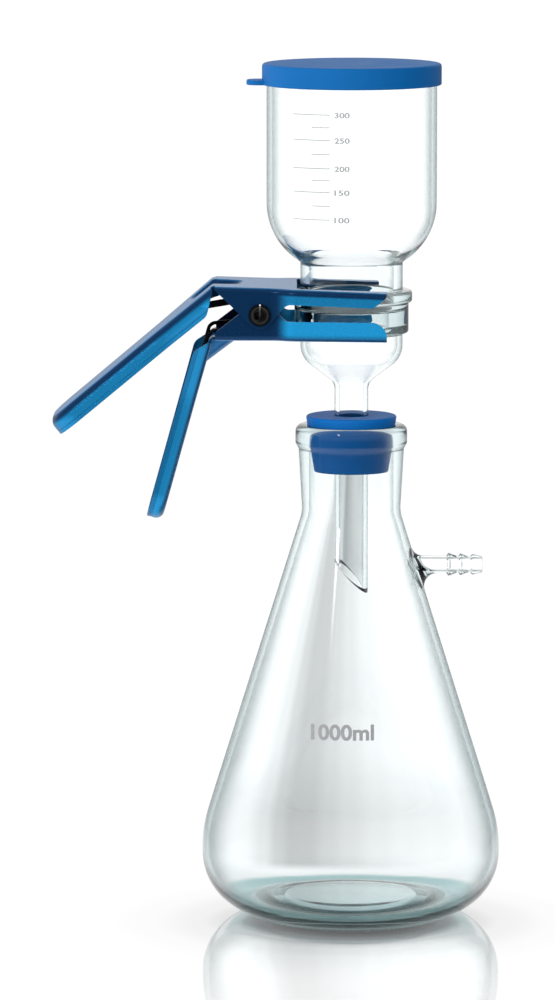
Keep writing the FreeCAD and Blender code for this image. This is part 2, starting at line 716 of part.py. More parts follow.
def make_hinge_pin():
    """Pin rolled from spring steel strip, two turns and a half, open in a slit along its top."""
    half_width = EAR_HALF + PIN_PROUD
    middle_r = PIN_R - PIN_SHEET
    inner_r = middle_r - PIN_SHEET
    outer_turn = arc_strip(middle_r, PIN_R, PIN_SLIT / 2, 360 - PIN_SLIT / 2, half_width)
    inner_turn = arc_strip(inner_r, middle_r - FIT, 15, 352, half_width)
    core_r = inner_r - PIN_SHEET
    core_turn = arc_strip(core_r, inner_r - FIT, 15, 210, half_width)
    outer_step = arc_strip(inner_r, middle_r + PIN_SHEET / 2, 335, 352, half_width)
    inner_step = arc_strip(core_r, inner_r + PIN_SHEET / 2, 15, 32, half_width)
    pin = outer_turn.fuse([outer_step, inner_turn, inner_step, core_turn])
    pin.translate(Vector(-PIVOT_BEHIND, 0, PIVOT_Z))
    return pin


# ---- spring ------------------------------------------------------------------------------------------

def tangent_angle(target, side):
    """Angle at which a straight wire from target meets the coils: side 1 above, -1 below."""
    away = Vector(target.x + PIVOT_BEHIND, 0, target.z - PIVOT_Z)
    lean = math.acos(COIL_R / away.Length)
    return math.degrees(math.atan2(away.z, away.x) - side * lean)


def turn_about_pin(angle, y):
    """Point on the coils' mean circle, its angle in degrees from +X up towards +Z."""
    turn = math.radians(angle)
    return Vector(
        -PIVOT_BEHIND + COIL_R * math.cos(turn), y, PIVOT_Z + COIL_R * math.sin(turn)
    )


def wire_piece(edge):
    """Round wire along one edge: a cylinder along a line, part of a torus along an arc."""
    heading = edge.tangentAt(edge.FirstParameter)
    end = Part.Wire(Part.makeCircle(WIRE_R, edge.valueAt(edge.FirstParameter), heading))
    disc = Part.Face(end)
    if edge.Curve.TypeId == "Part::GeomLine":
        return disc.extrude(heading * edge.Length)
    turn = math.degrees(edge.Length / edge.Curve.Radius)
    return disc.revolve(edge.Curve.Center, edge.Curve.Axis, turn)


def coil_edges(start, end, y_inner, y_outer):
    """Half turns, each in a plane tilted by half the pitch, and a flat arc to the leg's angle."""
    swing = (start - end) % 360
    halves = 2 * COIL_TURNS + int(swing // 180)
    step = (y_outer - y_inner) / halves
    edges = []
    for i in range(halves):
        first = turn_about_pin(start - 180 * i, y_inner + step * i)
        last = turn_about_pin(start - 180 * (i + 1), y_inner + step * (i + 1))
        middle = turn_about_pin(start - 180 * i - 90, y_inner + step * (i + 0.5))
        centre = (first + last) / 2
        reach = (first - last).Length / 2
        outward = (middle - centre).normalize() * reach
        edges.append(Part.Arc(first, centre + outward, last).toShape())
    stop = start - 180 * halves
    rest = swing % 180
    if rest > 0.5:
        bend = [turn_about_pin(stop - rest * share, y_outer) for share in (0, 0.5, 1)]
        edges.append(Part.Arc(*bend).toShape())
    return edges


def at_y(point, y):
    """The point moved to another y."""
    return Vector(point.x, y, point.z)


def make_clamp_spring():
    """Double torsion spring: a loop on the upper handle, two coils round the pin and two legs."""
    under = SHEET + WIRE_R + FIT
    loop_near = place_upper(on_handle(UPPER_BEND, -UPPER_SLOPE, LOOP_START, under))
    loop_far = place_upper(on_handle(UPPER_BEND, -UPPER_SLOPE, LOOP_START + LOOP_REACH, under))
    leg_near = place_lower(on_handle(LOWER_BEND, LOWER_SLOPE, -LEG_ABOVE, under))
    leg_far = place_lower(on_handle(LOWER_BEND, LOWER_SLOPE, LEG_REACH, under))
    coil_y = LOOP_HALF + (COIL_TURNS + 0.5) * COIL_PITCH
    loop_angle = tangent_angle(loop_near, 1)
    leg_angle = tangent_angle(leg_near, -1)
    loop = rounded_edges([
        at_y(loop_far, 0),
        at_y(loop_far, LOOP_HALF),
        at_y(loop_near, LOOP_HALF),
        turn_about_pin(loop_angle, LOOP_HALF),
    ], [0, WIRE_BEND, WIRE_BEND, 0], closed=False)
    leg = rounded_edges([
        turn_about_pin(leg_angle, coil_y),
        at_y(leg_near, coil_y),
        at_y(leg_far, coil_y),
    ], [0, WIRE_BEND, 0], closed=False)
    coil = coil_edges(loop_angle, leg_angle, LOOP_HALF, coil_y)
    pieces = [wire_piece(edge) for edge in loop + coil + leg]
    half = pieces[0].fuse(pieces[1:])
    return half.fuse(half.mirror(ORIGIN, Y_AXIS)).removeSplitter()


PIECES = {
    "flask": make_flask,
    "stopper": make_stopper,
    "filter_base": make_filter_base,
    "fritted_disc": make_fritted_disc,
    "funnel": make_funnel,
    "lid": make_lid,
    "upper_jaw": make_upper_jaw,
    "lower_jaw": make_lower_jaw,
    "hinge_pin": make_hinge_pin,
    "clamp_spring": make_clamp_spring,
}

os.makedirs("parts", exist_ok=True)
for node, make in PIECES.items():
    save(make(), node)
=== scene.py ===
"""Vacuum filtration unit: the view, the studio and each piece's finish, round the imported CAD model."""

import math

import bmesh
import bpy
import numpy as np
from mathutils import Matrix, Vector


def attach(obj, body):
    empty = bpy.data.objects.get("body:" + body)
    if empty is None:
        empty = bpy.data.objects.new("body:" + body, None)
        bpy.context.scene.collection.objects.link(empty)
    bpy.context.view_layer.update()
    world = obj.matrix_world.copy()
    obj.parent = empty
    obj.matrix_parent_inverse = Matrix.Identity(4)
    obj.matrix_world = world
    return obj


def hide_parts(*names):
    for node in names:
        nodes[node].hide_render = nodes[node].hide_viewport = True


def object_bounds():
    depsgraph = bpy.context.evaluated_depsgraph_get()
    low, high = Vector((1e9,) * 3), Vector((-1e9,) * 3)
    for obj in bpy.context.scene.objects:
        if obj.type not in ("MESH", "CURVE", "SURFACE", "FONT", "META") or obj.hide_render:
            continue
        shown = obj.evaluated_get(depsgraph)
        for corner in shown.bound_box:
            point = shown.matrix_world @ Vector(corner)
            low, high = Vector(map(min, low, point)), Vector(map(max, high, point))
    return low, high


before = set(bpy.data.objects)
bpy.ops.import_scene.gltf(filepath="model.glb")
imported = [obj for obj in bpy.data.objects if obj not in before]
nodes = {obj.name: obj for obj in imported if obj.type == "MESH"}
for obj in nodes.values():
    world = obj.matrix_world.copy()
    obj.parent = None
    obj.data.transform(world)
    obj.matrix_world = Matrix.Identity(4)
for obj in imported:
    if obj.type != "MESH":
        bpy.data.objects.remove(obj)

scene = bpy.context.scene
cad_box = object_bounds()
MM = 0.001


# The view: a long lens in front of the unit, a little above its middle, so that the lid's top
# shows as a thin oval and the uprights stay parallel.
CAMERA_DISTANCE = 2.8
CAMERA_ELEVATION = math.radians(7.7)
FOCAL_LENGTH, FILM_WIDTH, FARTHEST = 222, 36, 20
# From the middle of the CAD model's box to the point looked at.
AIM_X, AIM_Z = 0.3, -4.5
aim = (cad_box[0] + cad_box[1]) / 2 + Vector((AIM_X, 0, AIM_Z)) * MM
aim.y = 0

lens = bpy.data.cameras.new("camera")
lens.lens = FOCAL_LENGTH
lens.sensor_width = FILM_WIDTH
lens.clip_end = FARTHEST
camera = bpy.data.objects.new("camera", lens)
back_off = Vector((0, -math.cos(CAMERA_ELEVATION), math.sin(CAMERA_ELEVATION)))
camera.location = aim + CAMERA_DISTANCE * back_off
camera.rotation_euler = (math.radians(90) - CAMERA_ELEVATION, 0, 0)
scene.collection.objects.link(camera)
scene.camera = camera


# The studio: a white room with dim sides, a dark gap round the camera and one small lamp. Only
# reflections show the sides and the lamp. What is seen through glass is white.
def add(tree, kind, inputs=(), **settings):
    """A node of that kind with these settings. Each input is linked to a socket or set to a value."""
    made = tree.nodes.new(kind)
    for name, value in settings.items():
        setattr(made, name, value)
    for name, value in dict(inputs).items():
        socket = made.inputs[name]
        if isinstance(value, bpy.types.NodeSocket):
            tree.links.new(value, socket)
        else:
            socket.default_value = value
    return made


def sum_of(tree, operation, *values):
    """The result of a Math node on these values or sockets."""
    return add(tree, "ShaderNodeMath", enumerate(values), operation=operation).outputs[0]


def step_up(tree, value, low, high):
    """0 at low, 1 at high and a smooth rise between. It falls where high is the smaller of the two."""
    return add(tree, "ShaderNodeMapRange", {"Value": value, "From Min": low, "From Max": high},
               interpolation_type="SMOOTHSTEP").outputs["Result"]


def ramp(tree, value, stops):
    """The grey at this value between (place, tone) stops, with smooth joins."""
    made = add(tree, "ShaderNodeValToRGB", {"Fac": value})
    made.color_ramp.interpolation = "EASE"
    elements = made.color_ramp.elements
    while len(elements) < len(stops):
        elements.new(0.5)
    for element, (place, tone) in zip(elements, stops):
        element.position = place
        element.color = (tone, tone, tone, 1)
    return made.outputs["Color"]


def mixed(tree, factor, first, second):
    """A colour between first and second, which are sockets, or colours as three numbers."""
    first, second = (colour if isinstance(colour, bpy.types.NodeSocket) else (*colour, 1)
                     for colour in (first, second))
    made = add(tree, "ShaderNodeMix", {0: factor, 6: first, 7: second}, data_type="RGBA")
    return made.outputs[2]


def between(tree, factor, first, second):
    """first where the factor is 0, second where it is 1."""
    return sum_of(tree, "MULTIPLY_ADD", factor, sum_of(tree, "SUBTRACT", second, first), first)


def product(tree, first, second):
    """first times second."""
    return sum_of(tree, "MULTIPLY", first, second)


def beyond(tree, value, limit):
    """1 where the value is greater than the limit, or else 0."""
    return sum_of(tree, "GREATER_THAN", value, limit)


WHITE = 1.02
# Degrees round from the front, left negative, with the light that a reflection shows there.
SURROUND = [
    (-180, 0.4), (-155, 0.5), (-130, 0.7), (-112, 0.35), (-90, 0.14), (-60, 0.12), (-38, 0.1),
    (-15, 0.05), (0, 0.04), (20, 0.05), (45, 0.1), (75, 0.25), (100, 0.5), (120, 0.6), (150, 0.4),
    (180, 0.4),
]
# The light in the rest of the room, and the Z, or Y, of a direction between which it comes in.
OVERHEAD, OVERHEAD_Z = 0.3, (0.3, 0.8)
SWEEP, SWEEP_Z = 0.8, (-0.2, -0.5)
HIGH_BEHIND, HIGH_BEHIND_Z, HIGH_BEHIND_Y = 0.9, (0.0, 0.1), (0.5, 0.9)
# The same for light that comes through the glass, and for light that is turned about deep in it.
THROUGH_GLASS, DEEP_GLASS, BACK_Y = 1.38, 0.7, (-0.2, 0.3)
FROM_ABOVE, FROM_ABOVE_Z = 0.45, (0.2, 0.65)
FROM_BELOW, FROM_BELOW_Z = 0.8, (-0.4, -0.8)
DEEP_MIRRORS, DEEP_SURFACES = 1.5, 2.5
LAMP, LAMP_LIGHT = Vector((-0.42, -0.76, 0.5)).normalized(), 14.0
# The cosine of the angle off the lamp, at the lamp's edge and just inside it.
LAMP_EDGE = (0.9955, 0.9975)
# Soft light on rubber and lacquer: the room's mean, then how much more comes from +X, +Y and +Z.
ROOM, FROM_X, FROM_Y, FROM_Z = 0.85, -0.7, -0.25, 0.1

world = bpy.data.worlds.new("studio")
world.use_nodes = True
world.cycles.sampling_method = "NONE"
scene.world = world
tree = world.node_tree
tree.nodes.clear()
direction = add(tree, "ShaderNodeTexCoord").outputs["Generated"]
way = add(tree, "ShaderNodeSeparateXYZ", {"Vector": direction}).outputs
round_about = sum_of(tree, "ARCTAN2", way["X"], product(tree, way["Y"], -1.0))
turn = sum_of(tree, "MULTIPLY_ADD", round_about, 0.5 / math.pi, 0.5)
boxes = ramp(tree, turn, [(0.5 + angle / 360, light) for angle, light in SURROUND])
high_behind = product(
    tree, step_up(tree, way["Z"], *HIGH_BEHIND_Z), step_up(tree, way["Y"], *HIGH_BEHIND_Y))
boxes = between(tree, high_behind, boxes, HIGH_BEHIND)
boxes = between(tree, step_up(tree, way["Z"], *OVERHEAD_Z), boxes, OVERHEAD)
boxes = between(tree, step_up(tree, way["Z"], *SWEEP_Z), boxes, SWEEP)
behind = between(tree, step_up(tree, way["Z"], *FROM_ABOVE_Z), THROUGH_GLASS, FROM_ABOVE)
behind = between(tree, step_up(tree, way["Z"], *FROM_BELOW_Z), behind, FROM_BELOW)
room = ROOM
for axis, more in (("X", FROM_X), ("Y", FROM_Y), ("Z", FROM_Z)):
    room = sum_of(tree, "MULTIPLY_ADD", way[axis], more, room)
path = add(tree, "ShaderNodeLightPath").outputs
through = beyond(tree, path["Transmission Depth"], 0.5)
mirrored = product(tree, path["Is Glossy Ray"], sum_of(
    tree, "SUBTRACT", 1.0, sum_of(tree, "MAXIMUM", through, path["Is Singular Ray"])))
deep = sum_of(tree, "MAXIMUM", beyond(tree, path["Glossy Depth"], DEEP_MIRRORS),
              beyond(tree, path["Transmission Depth"], DEEP_SURFACES))
turned_back = between(tree, deep, boxes, DEEP_GLASS)
inside = between(tree, step_up(tree, way["Y"], *BACK_Y), turned_back, behind)
inside = between(tree, beyond(tree, path["Glossy Depth"], 0.5), behind, inside)
at_lamp = add(tree, "ShaderNodeVectorMath", {0: direction, 1: LAMP}, operation="DOT_PRODUCT")
lit = between(tree, step_up(tree, at_lamp.outputs["Value"], *LAMP_EDGE), boxes, LAMP_LIGHT)
strength = between(tree, mirrored, between(tree, through, WHITE, inside), lit)
strength = between(tree, beyond(tree, path["Diffuse Depth"], 0.5), strength, room)
background = add(tree, "ShaderNodeBackground", {"Color": (1, 1, 1, 1), "Strength": strength})
tree.links.new(background.outputs[0], add(tree, "ShaderNodeOutputWorld").inputs["Surface"])

scene.view_settings.view_transform = "Standard"
scene.cycles.max_bounces = 32
scene.cycles.transmission_bounces = 28
scene.cycles.glossy_bounces = 24
scene.cycles.transparent_max_bounces = 16


# The floor: a sheet of polished white acrylic that glows like a light table and fades into the
# white, so that only the foot's painted soft shadow and the flask's mirror image show on it. The
# shadow is painted towards the camera, as light from behind would cast it.
FLOOR_RADIUS, FLOOR_RINGS, FLOOR_SEGMENTS = 0.5, 12, 96
FLOOR_DROP = 0.2 * MM
FLOOR_MIRROR, MIRROR_FADE, FLOOR_FADE = 0.7, (0.06, 0.36), (0.17, 0.45)
DUST = 0.03
SHADOW_HALF_X, SHADOW_HALF_Y, SHADOW_Y, SHADOW_REACH = 0.046, 0.043, -0.025, 3.0
# Share of the painted shadow's reach, with the painted light there.
SHADOW = [(0.17, 0.3), (0.3, 0.56), (0.4, 0.75), (0.5, 0.87), (0.67, 0.95), (0.83, 0.98), (1.0, 1.0)]
# The painted light and shade under the foot, with the radii, or the Y, between which each comes in and
# goes out.
UNDER_FOOT, UNDER_FOOT_OUT = (0.68, 0.82, 0.83), (0.048, 0.042)
AT_CONTACT, CONTACT_IN, CONTACT_OUT = (0.05, 0.12, 0.13), (0.028, 0.032), (0.044, 0.041)
CONTACT_Y = (0.01, -0.02)
UNDER_HEEL, HEEL_IN, HEEL_OUT = (0.42, 0.62, 0.63), (0.044, 0.05), (0.07, 0.06)


def noise(tree, place, scale, detail=2.0):
    """Soft noise from 0 to 1 at a place, with grains about 1 / scale across."""
    inputs = {"Vector": place, "Scale": scale, "Detail": detail}
    return add(tree, "ShaderNodeTexNoise", inputs).outputs["Fac"]


def length(tree, vector):
    """The length of a vector."""
    return add(tree, "ShaderNodeVectorMath", {0: vector}, operation="LENGTH").outputs["Value"]


def material(name):
    """An empty node material, its tree and its output node."""
    made = bpy.data.materials.new(name)
    made.use_nodes = True
    made.node_tree.nodes.clear()
    return made, made.node_tree, made.node_tree.nodes.new("ShaderNodeOutputMaterial")


def turned(profile, segments, closed=False):
    """Vertices, an index grid and quads of a profile turned about Z.

    Point (r, z) at turn t goes to (r cos t, r sin t, z). A point on the axis is one vertex for all
    turns. A closed profile's last point is joined to its first.
    """
    turn = np.arange(segments) * (2 * math.pi / segments)
    r, z = profile[:, :1], profile[:, 1:]
    vertices = np.stack([r * np.cos(turn), r * np.sin(turn), z + 0 * turn], -1).reshape(-1, 3)
    grid = np.arange(len(profile) * segments).reshape(len(profile), segments)
    grid[profile[:, 0] < 1e-7] = grid[profile[:, 0] < 1e-7][:, :1]
    rows = np.vstack([grid, grid[:1]]) if closed else grid
    across = np.roll(rows, -1, 1)
    quads = np.stack([rows[:-1], across[:-1], across[1:], rows[1:]], -1)
    return vertices, grid, quads


def placed(name, vertices, faces, finish):
    """An object at the origin from lists of vertices and faces."""
    mesh = bpy.data.meshes.new(name)
    mesh.from_pydata(vertices, [], faces)
    mesh.materials.append(finish)
    mesh.update()
    made = bpy.data.objects.new(name, mesh)
    scene.collection.objects.link(made)
    return made


def piece(name, vertices, quads, finish, smooth=True):
    """An object from arrays of vertices and quads. A quad with a doubled corner becomes a triangle."""
    quads = quads.reshape(-1, 4)
    used, numbers = np.unique(quads, return_inverse=True)
    quads = numbers.reshape(-1, 4)
    first = quads[:, 0] == quads[:, 1]
    last = quads[:, 2] == quads[:, 3]
    faces = quads[~(first | last)].tolist() + quads[first & ~last][:, [0, 2, 3]].tolist()
    faces += quads[last & ~first][:, :3].tolist()
    made = placed(name, vertices[used].tolist(), faces, finish)
    made.data.polygons.foreach_set("use_smooth", [smooth] * len(faces))
    return made


acrylic, tree, output = material("white_acrylic")
spot = add(tree, "ShaderNodeTexCoord").outputs["Object"]
reach = length(tree, spot)
moved = add(tree, "ShaderNodeMapping", {
    "Vector": spot, "Location": (0, -SHADOW_Y / SHADOW_HALF_Y, 0),
    "Scale": (1 / SHADOW_HALF_X, 1 / SHADOW_HALF_Y, 0)})
# Painted shadow: shade darkens both the floor's glow and its mirror image.
shade = ramp(tree, sum_of(tree, "DIVIDE", length(tree, moved.outputs[0]), SHADOW_REACH), SHADOW)
ring = product(tree, step_up(tree, reach, *CONTACT_IN), step_up(tree, reach, *CONTACT_OUT))
nearer = step_up(tree, add(tree, "ShaderNodeSeparateXYZ", {"Vector": spot}).outputs["Y"], *CONTACT_Y)
inner = mixed(tree, product(tree, ring, nearer), UNDER_FOOT, AT_CONTACT)
shade = mixed(tree, step_up(tree, reach, *UNDER_FOOT_OUT), shade, inner)
# Painted teal shade under the heel's overhang, where the light has crossed thick glass.
heel = product(tree, step_up(tree, reach, *HEEL_IN), step_up(tree, reach, *HEEL_OUT))
seen_through = beyond(tree, add(tree, "ShaderNodeLightPath").outputs["Transmission Depth"], 0.5)
shade = mixed(tree, product(tree, heel, seen_through), shade, UNDER_HEEL)
bright = sum_of(tree, "MULTIPLY_ADD", noise(tree, spot, 40.0, 4.0), DUST, WHITE)
glow = add(tree, "ShaderNodeEmission", {"Color": shade, "Strength": bright})
mirror = add(tree, "ShaderNodeBsdfGlossy", {"Color": shade, "Roughness": 0.0})
polish = between(tree, step_up(tree, reach, *MIRROR_FADE), FLOOR_MIRROR, 0.0)
top = add(tree, "ShaderNodeMixShader", {0: polish, 1: glow.outputs[0], 2: mirror.outputs[0]})
clear = add(tree, "ShaderNodeBsdfTransparent")
faded = add(tree, "ShaderNodeMixShader", {
    0: step_up(tree, reach, *FLOOR_FADE), 1: top.outputs[0], 2: clear.outputs[0]})
tree.links.new(faded.outputs[0], output.inputs["Surface"])
rings = np.linspace(FLOOR_RADIUS, 0, FLOOR_RINGS)
vertices, _, quads = turned(np.stack([rings, np.full(FLOOR_RINGS, -FLOOR_DROP)], -1), FLOOR_SEGMENTS)
floor = piece("floor", vertices, quads, acrylic)


# The flask: a litre of thick-walled heat-proof glass, blown with a heel, a cone and a beaded mouth.
# Its barbed side arm is drawn from tube and fused into the cone, so it is all one piece of glass.
FLASK_R, FLASK_TOP, WALL, NECK_WALL = 67.8, 224.0, 2.8, 3.0
FOOT_R, PUSH_UP_R, PUSH_UP, FOOT_THICK = 35.3, 30.1, 2.6, 4.5
INNER_FLAT_R, INNER_PUSH_UP_R = 40.3, 33.3
NECK_R, BEAD_R, BEAD_UNDER_R, BEAD_FOOT_Z, BEAD_Z = 22.2, 25.3, 23.9, 213.5, 215.5
HEEL_Z, NECK_Z = 38.6, 184.11
CONE_TILT = math.atan((FLASK_R - NECK_R) / (NECK_Z - HEEL_Z))
MOUTH_GAP, MOUTH_LOW_Z, MOUTH_FOOT_Z = 0.05, 219.0, 217.5
STOPPER_TOP_R, STOPPER_TOP_Z, STOPPER_TALL, STOPPER_FALL = 20.6, 228.2, 25.0, 3.9
ARM_Z, ARM_R, ARM_BORE_R, ARM_TIP_X, ARM_START_X, BORE_START_X = 159.8, 3.95, 2.75, 59.6, 41.2, 31.5
ARM_FILLET, BORE_FILLET, ROOT_STEPS, SPREAD_STEPS = 6.0, 0.8, 8, 4
BARBS, BARB_PITCH, BARB_RISE, BARB_RUN, BARB_R, BARB_FALL, BARB_LESS = 3, 5.4, 0.8, 4.5, 5.35, 1.15, 0.3
PATCH_HALF, PATCH_CELLS, TURNS = 12.0, 24, 192


def swing(centre, start, end, steps):
    """Points on an arc about centre, with the arms to start and end mixed.

    At share t of the angle a their weights are sin((1 - t) a) / sin a and sin(t a) / sin a.
    """
    u, v = start - centre, end - centre
    size = np.linalg.norm(u, axis=-1, keepdims=True)
    angle = np.arccos(np.clip((u * v).sum(-1, keepdims=True) / size ** 2, -1, 1))
    t = np.linspace(0, 1, steps + 1).reshape(-1, *[1] * u.ndim)
    return centre + (np.sin((1 - t) * angle) * u + np.sin(t * angle) * v) / np.sin(angle)


def outline(corners, closed=False, longest=2.6):
    """Points (radius, height) in metres along a line with rounded corners, and the row of each corner.

    A corner is (radius, height, round, steps) in millimetres. Its arc touches both runs at
    round / tan(half the angle between them). A run is divided evenly, into steps if it gives them.
    """
    at = np.array([corner[:2] for corner in corners], float)
    back = np.roll(at, 1, 0) - at
    ahead = np.roll(at, -1, 0) - at
    back /= np.linalg.norm(back, axis=1, keepdims=True)
    ahead /= np.linalg.norm(ahead, axis=1, keepdims=True)
    half = np.arccos(np.clip((back * ahead).sum(1), -1, 1)) / 2
    stretches = []
    for i, corner in enumerate(corners):
        size = corner[2] if len(corner) > 2 else 0
        if size and (closed or 0 < i < len(corners) - 1):
            bisector = back[i] + ahead[i]
            centre = at[i] + bisector / np.linalg.norm(bisector) * size / math.sin(half[i])
            sweep = math.pi - 2 * half[i]
            steps = max(5, math.ceil(sweep / math.radians(8)), math.ceil(sweep * size / longest))
            grip = size / math.tan(half[i])
            stretches.append(swing(centre, at[i] + back[i] * grip, at[i] + ahead[i] * grip, steps))
        else:
            stretches.append(at[i:i + 1])
    points, marks = [], []
    for i, stretch in enumerate(stretches):
        marks.append(sum(len(p) for p in points))
        points.append(stretch)
        if i == len(corners) - 1 and not closed:
            break
        start, end = stretch[-1], stretches[(i + 1) % len(corners)][0]
        run = np.linalg.norm(end - start)
        steps = corners[i][3] if len(corners[i]) > 3 else math.ceil(run / longest)
        t = np.arange(1, steps)[:, None] / max(steps, 1)
        points.append(start + (end - start) * t)
    return np.vstack(points) * MM, marks


def cone_r(z):
    """The flask's outer radius at a height on its straight cone."""
    return FLASK_R - (z - HEEL_Z) * math.tan(CONE_TILT)


def stopper_r(z):
    """The stopper's radius, which falls evenly by STOPPER_FALL over the stopper's height."""
    return STOPPER_TOP_R - STOPPER_FALL * (STOPPER_TOP_Z - z) / STOPPER_TALL


ACROSS = WALL / math.cos(CONE_TILT)
INNER_FOOT_Z = HEEL_Z + (WALL - ACROSS) / math.tan(CONE_TILT)
INNER_R = NECK_R - NECK_WALL
INNER_TOP_Z = NECK_Z + (NECK_R - ACROSS - INNER_R) / math.tan(CONE_TILT)
PATCH_LOW, PATCH_HIGH = ARM_Z - PATCH_HALF, ARM_Z + PATCH_HALF
INNER_PUSH_UP = PUSH_UP + FOOT_THICK
OUTER_PATCH, INNER_PATCH = 5, 15
# The outside from the foot's middle up to the mouth, then the inside down to the foot's middle.
flask_line, marks = outline([
    (0, PUSH_UP), (PUSH_UP_R, PUSH_UP, 4), (FOOT_R, 0, 1.5), (FLASK_R, 0, 27.5), (FLASK_R, HEEL_Z, 56),
    (cone_r(PATCH_LOW), PATCH_LOW, 0, PATCH_CELLS), (cone_r(PATCH_HIGH), PATCH_HIGH),
    (NECK_R, NECK_Z, 18), (BEAD_UNDER_R, BEAD_FOOT_Z, 3), (BEAD_R, BEAD_Z, 2.5), (BEAD_R, FLASK_TOP, 3),
    (stopper_r(FLASK_TOP) + MOUTH_GAP, FLASK_TOP, 0.7),
    (stopper_r(MOUTH_LOW_Z) + MOUTH_GAP, MOUTH_LOW_Z),
    (INNER_R, MOUTH_FOOT_Z), (INNER_R, INNER_TOP_Z, 15.2),
    (cone_r(PATCH_HIGH) - ACROSS, PATCH_HIGH, 0, PATCH_CELLS), (cone_r(PATCH_LOW) - ACROSS, PATCH_LOW),
    (FLASK_R - WALL, INNER_FOOT_Z, 53), (FLASK_R - WALL, FOOT_THICK, 23.2),
    (INNER_FLAT_R, FOOT_THICK, 8), (INNER_PUSH_UP_R, INNER_PUSH_UP, 20), (0, INNER_PUSH_UP),
])
vertices, grid, quads = turned(flask_line, TURNS)

half_cells = PATCH_CELLS // 2
sides = np.arange(-half_cells, half_cells + 1)
outer_rows = marks[OUTER_PATCH] + np.arange(PATCH_CELLS + 1)
inner_rows = marks[INNER_PATCH] + np.arange(PATCH_CELLS, -1, -1)


def patch_edge(rows):
    """Vertex numbers round the patch, anticlockwise from outside: up at +Y, over, down and back."""
    block = grid[rows][:, sides]
    return np.concatenate([block[:-1, -1], block[-1, :0:-1], block[:0:-1, 0], block[0, :-1]])


outer_edge, inner_edge = patch_edge(outer_rows), patch_edge(inner_rows)
edge_at = vertices[outer_edge] / MM
about = np.arctan2(edge_at[:, 2] - ARM_Z, edge_at[:, 1])
cos_about, sin_about = np.cos(about), np.sin(about)


def on_cone(y, z, inset=0.0):
    """The point of the cone, moved in by inset, that is at this y and z on the arm's side."""
    return np.stack([np.sqrt((cone_r(z) - inset) ** 2 - y ** 2), y, z], -1)


def root(tube_r, fillet, inset):
    """Arcs from the cone's wall to a tube along X. A ball of the fillet's size rolls round their joint.

    Its centre is tube_r + fillet from the tube's axis and the fillet's size from the wall.
    """
    away = tube_r + fillet
    centre = on_cone(away * cos_about, ARM_Z + away * sin_about, inset - fillet / math.cos(CONE_TILT))
    rho = np.hypot(centre[:, 0], centre[:, 1])
    out = np.stack([math.cos(CONE_TILT) * centre[:, 0] / rho, math.cos(CONE_TILT) * centre[:, 1] / rho,
                    np.full(len(rho), math.sin(CONE_TILT))], -1)
    touch = np.stack([centre[:, 0], tube_r * cos_about, ARM_Z + tube_r * sin_about], -1)
    return swing(centre, centre - fillet * out, touch, ROOT_STEPS)


def spread(edge, ring, inset):
    """Rings between a square edge and a round one, mixed evenly and laid back on the cone."""
    t = np.linspace(0, 1, SPREAD_STEPS + 1)[1:-1, None, None]
    mix = edge + (ring - edge) * t
    return on_cone(mix[..., 1], mix[..., 2], inset)


def tube(line):
    """Rings along X from points (radius, x)."""
    r, x = line[:, :1] / MM, line[:, 1:] / MM
    return np.stack([x + 0 * cos_about, r * cos_about, ARM_Z + r * sin_about], -1)


outer_root, bore_root = root(ARM_R, ARM_FILLET, 0), root(ARM_BORE_R, BORE_FILLET, ACROSS)
FIRST_BARB_X = ARM_TIP_X - BARBS * BARB_PITCH
barb_line = [(ARM_R, ARM_START_X)]
for barb in range(BARBS):
    crest, start = BARB_R - barb * BARB_LESS, FIRST_BARB_X + barb * BARB_PITCH
    valley = crest - BARB_FALL
    barb_line += [(barb_line[-1][0], start, 0.4), (crest, start + BARB_RISE, 0.55)]
    if barb == BARBS - 1:
        barb_line += [(valley, ARM_TIP_X, 0.7), (ARM_BORE_R, ARM_TIP_X, 0.4)]
    else:
        barb_line += [(valley - BARB_LESS, start + BARB_RUN, 1.2)]
barb_line += [(ARM_BORE_R, BORE_START_X)]
arm_rings = np.concatenate([
    spread(edge_at, outer_root[0], 0), outer_root, tube(outline(barb_line, longest=1.2)[0]),
    bore_root[::-1], spread(vertices[inner_edge] / MM, bore_root[0], ACROSS)[::-1],
])
arm_grid = len(vertices) + np.arange(arm_rings[..., 0].size).reshape(arm_rings.shape[:2])
arm_grid = np.vstack([outer_edge, arm_grid, inner_edge])
ahead = np.roll(arm_grid, -1, 1)
arm_quads = np.stack([arm_grid[:-1], ahead[:-1], ahead[1:], arm_grid[1:]], -1)

keep = np.ones(quads.shape[:2], bool)
for rows in (outer_rows, inner_rows[::-1]):
    keep[np.ix_(rows[:-1], sides[:-1] % TURNS)] = False
vertices = np.vstack([vertices, arm_rings.reshape(-1, 3) * MM])
quads = np.vstack([quads[keep], arm_quads.reshape(-1, 4)])


def group(name, inputs, output):
    """An empty node group with a Place input, float inputs of these names and one float output."""
    made = bpy.data.node_groups.new(name, "ShaderNodeTree")
    made.interface.new_socket("Place", in_out="INPUT", socket_type="NodeSocketVector")
    for label in inputs:
        made.interface.new_socket(label, in_out="INPUT", socket_type="NodeSocketFloat")
    made.interface.new_socket(output, in_out="OUTPUT", socket_type="NodeSocketFloat")
    given = made.nodes.new("NodeGroupInput").outputs
    return made, given, made.nodes.new("NodeGroupOutput").inputs[output]


# Fire-polished glass isn't quite flat: it has long shallow waves along the draw and a few fine seeds.
SEED_DEPTH, SEED_EDGE = 0.05, (0.0, 0.06)

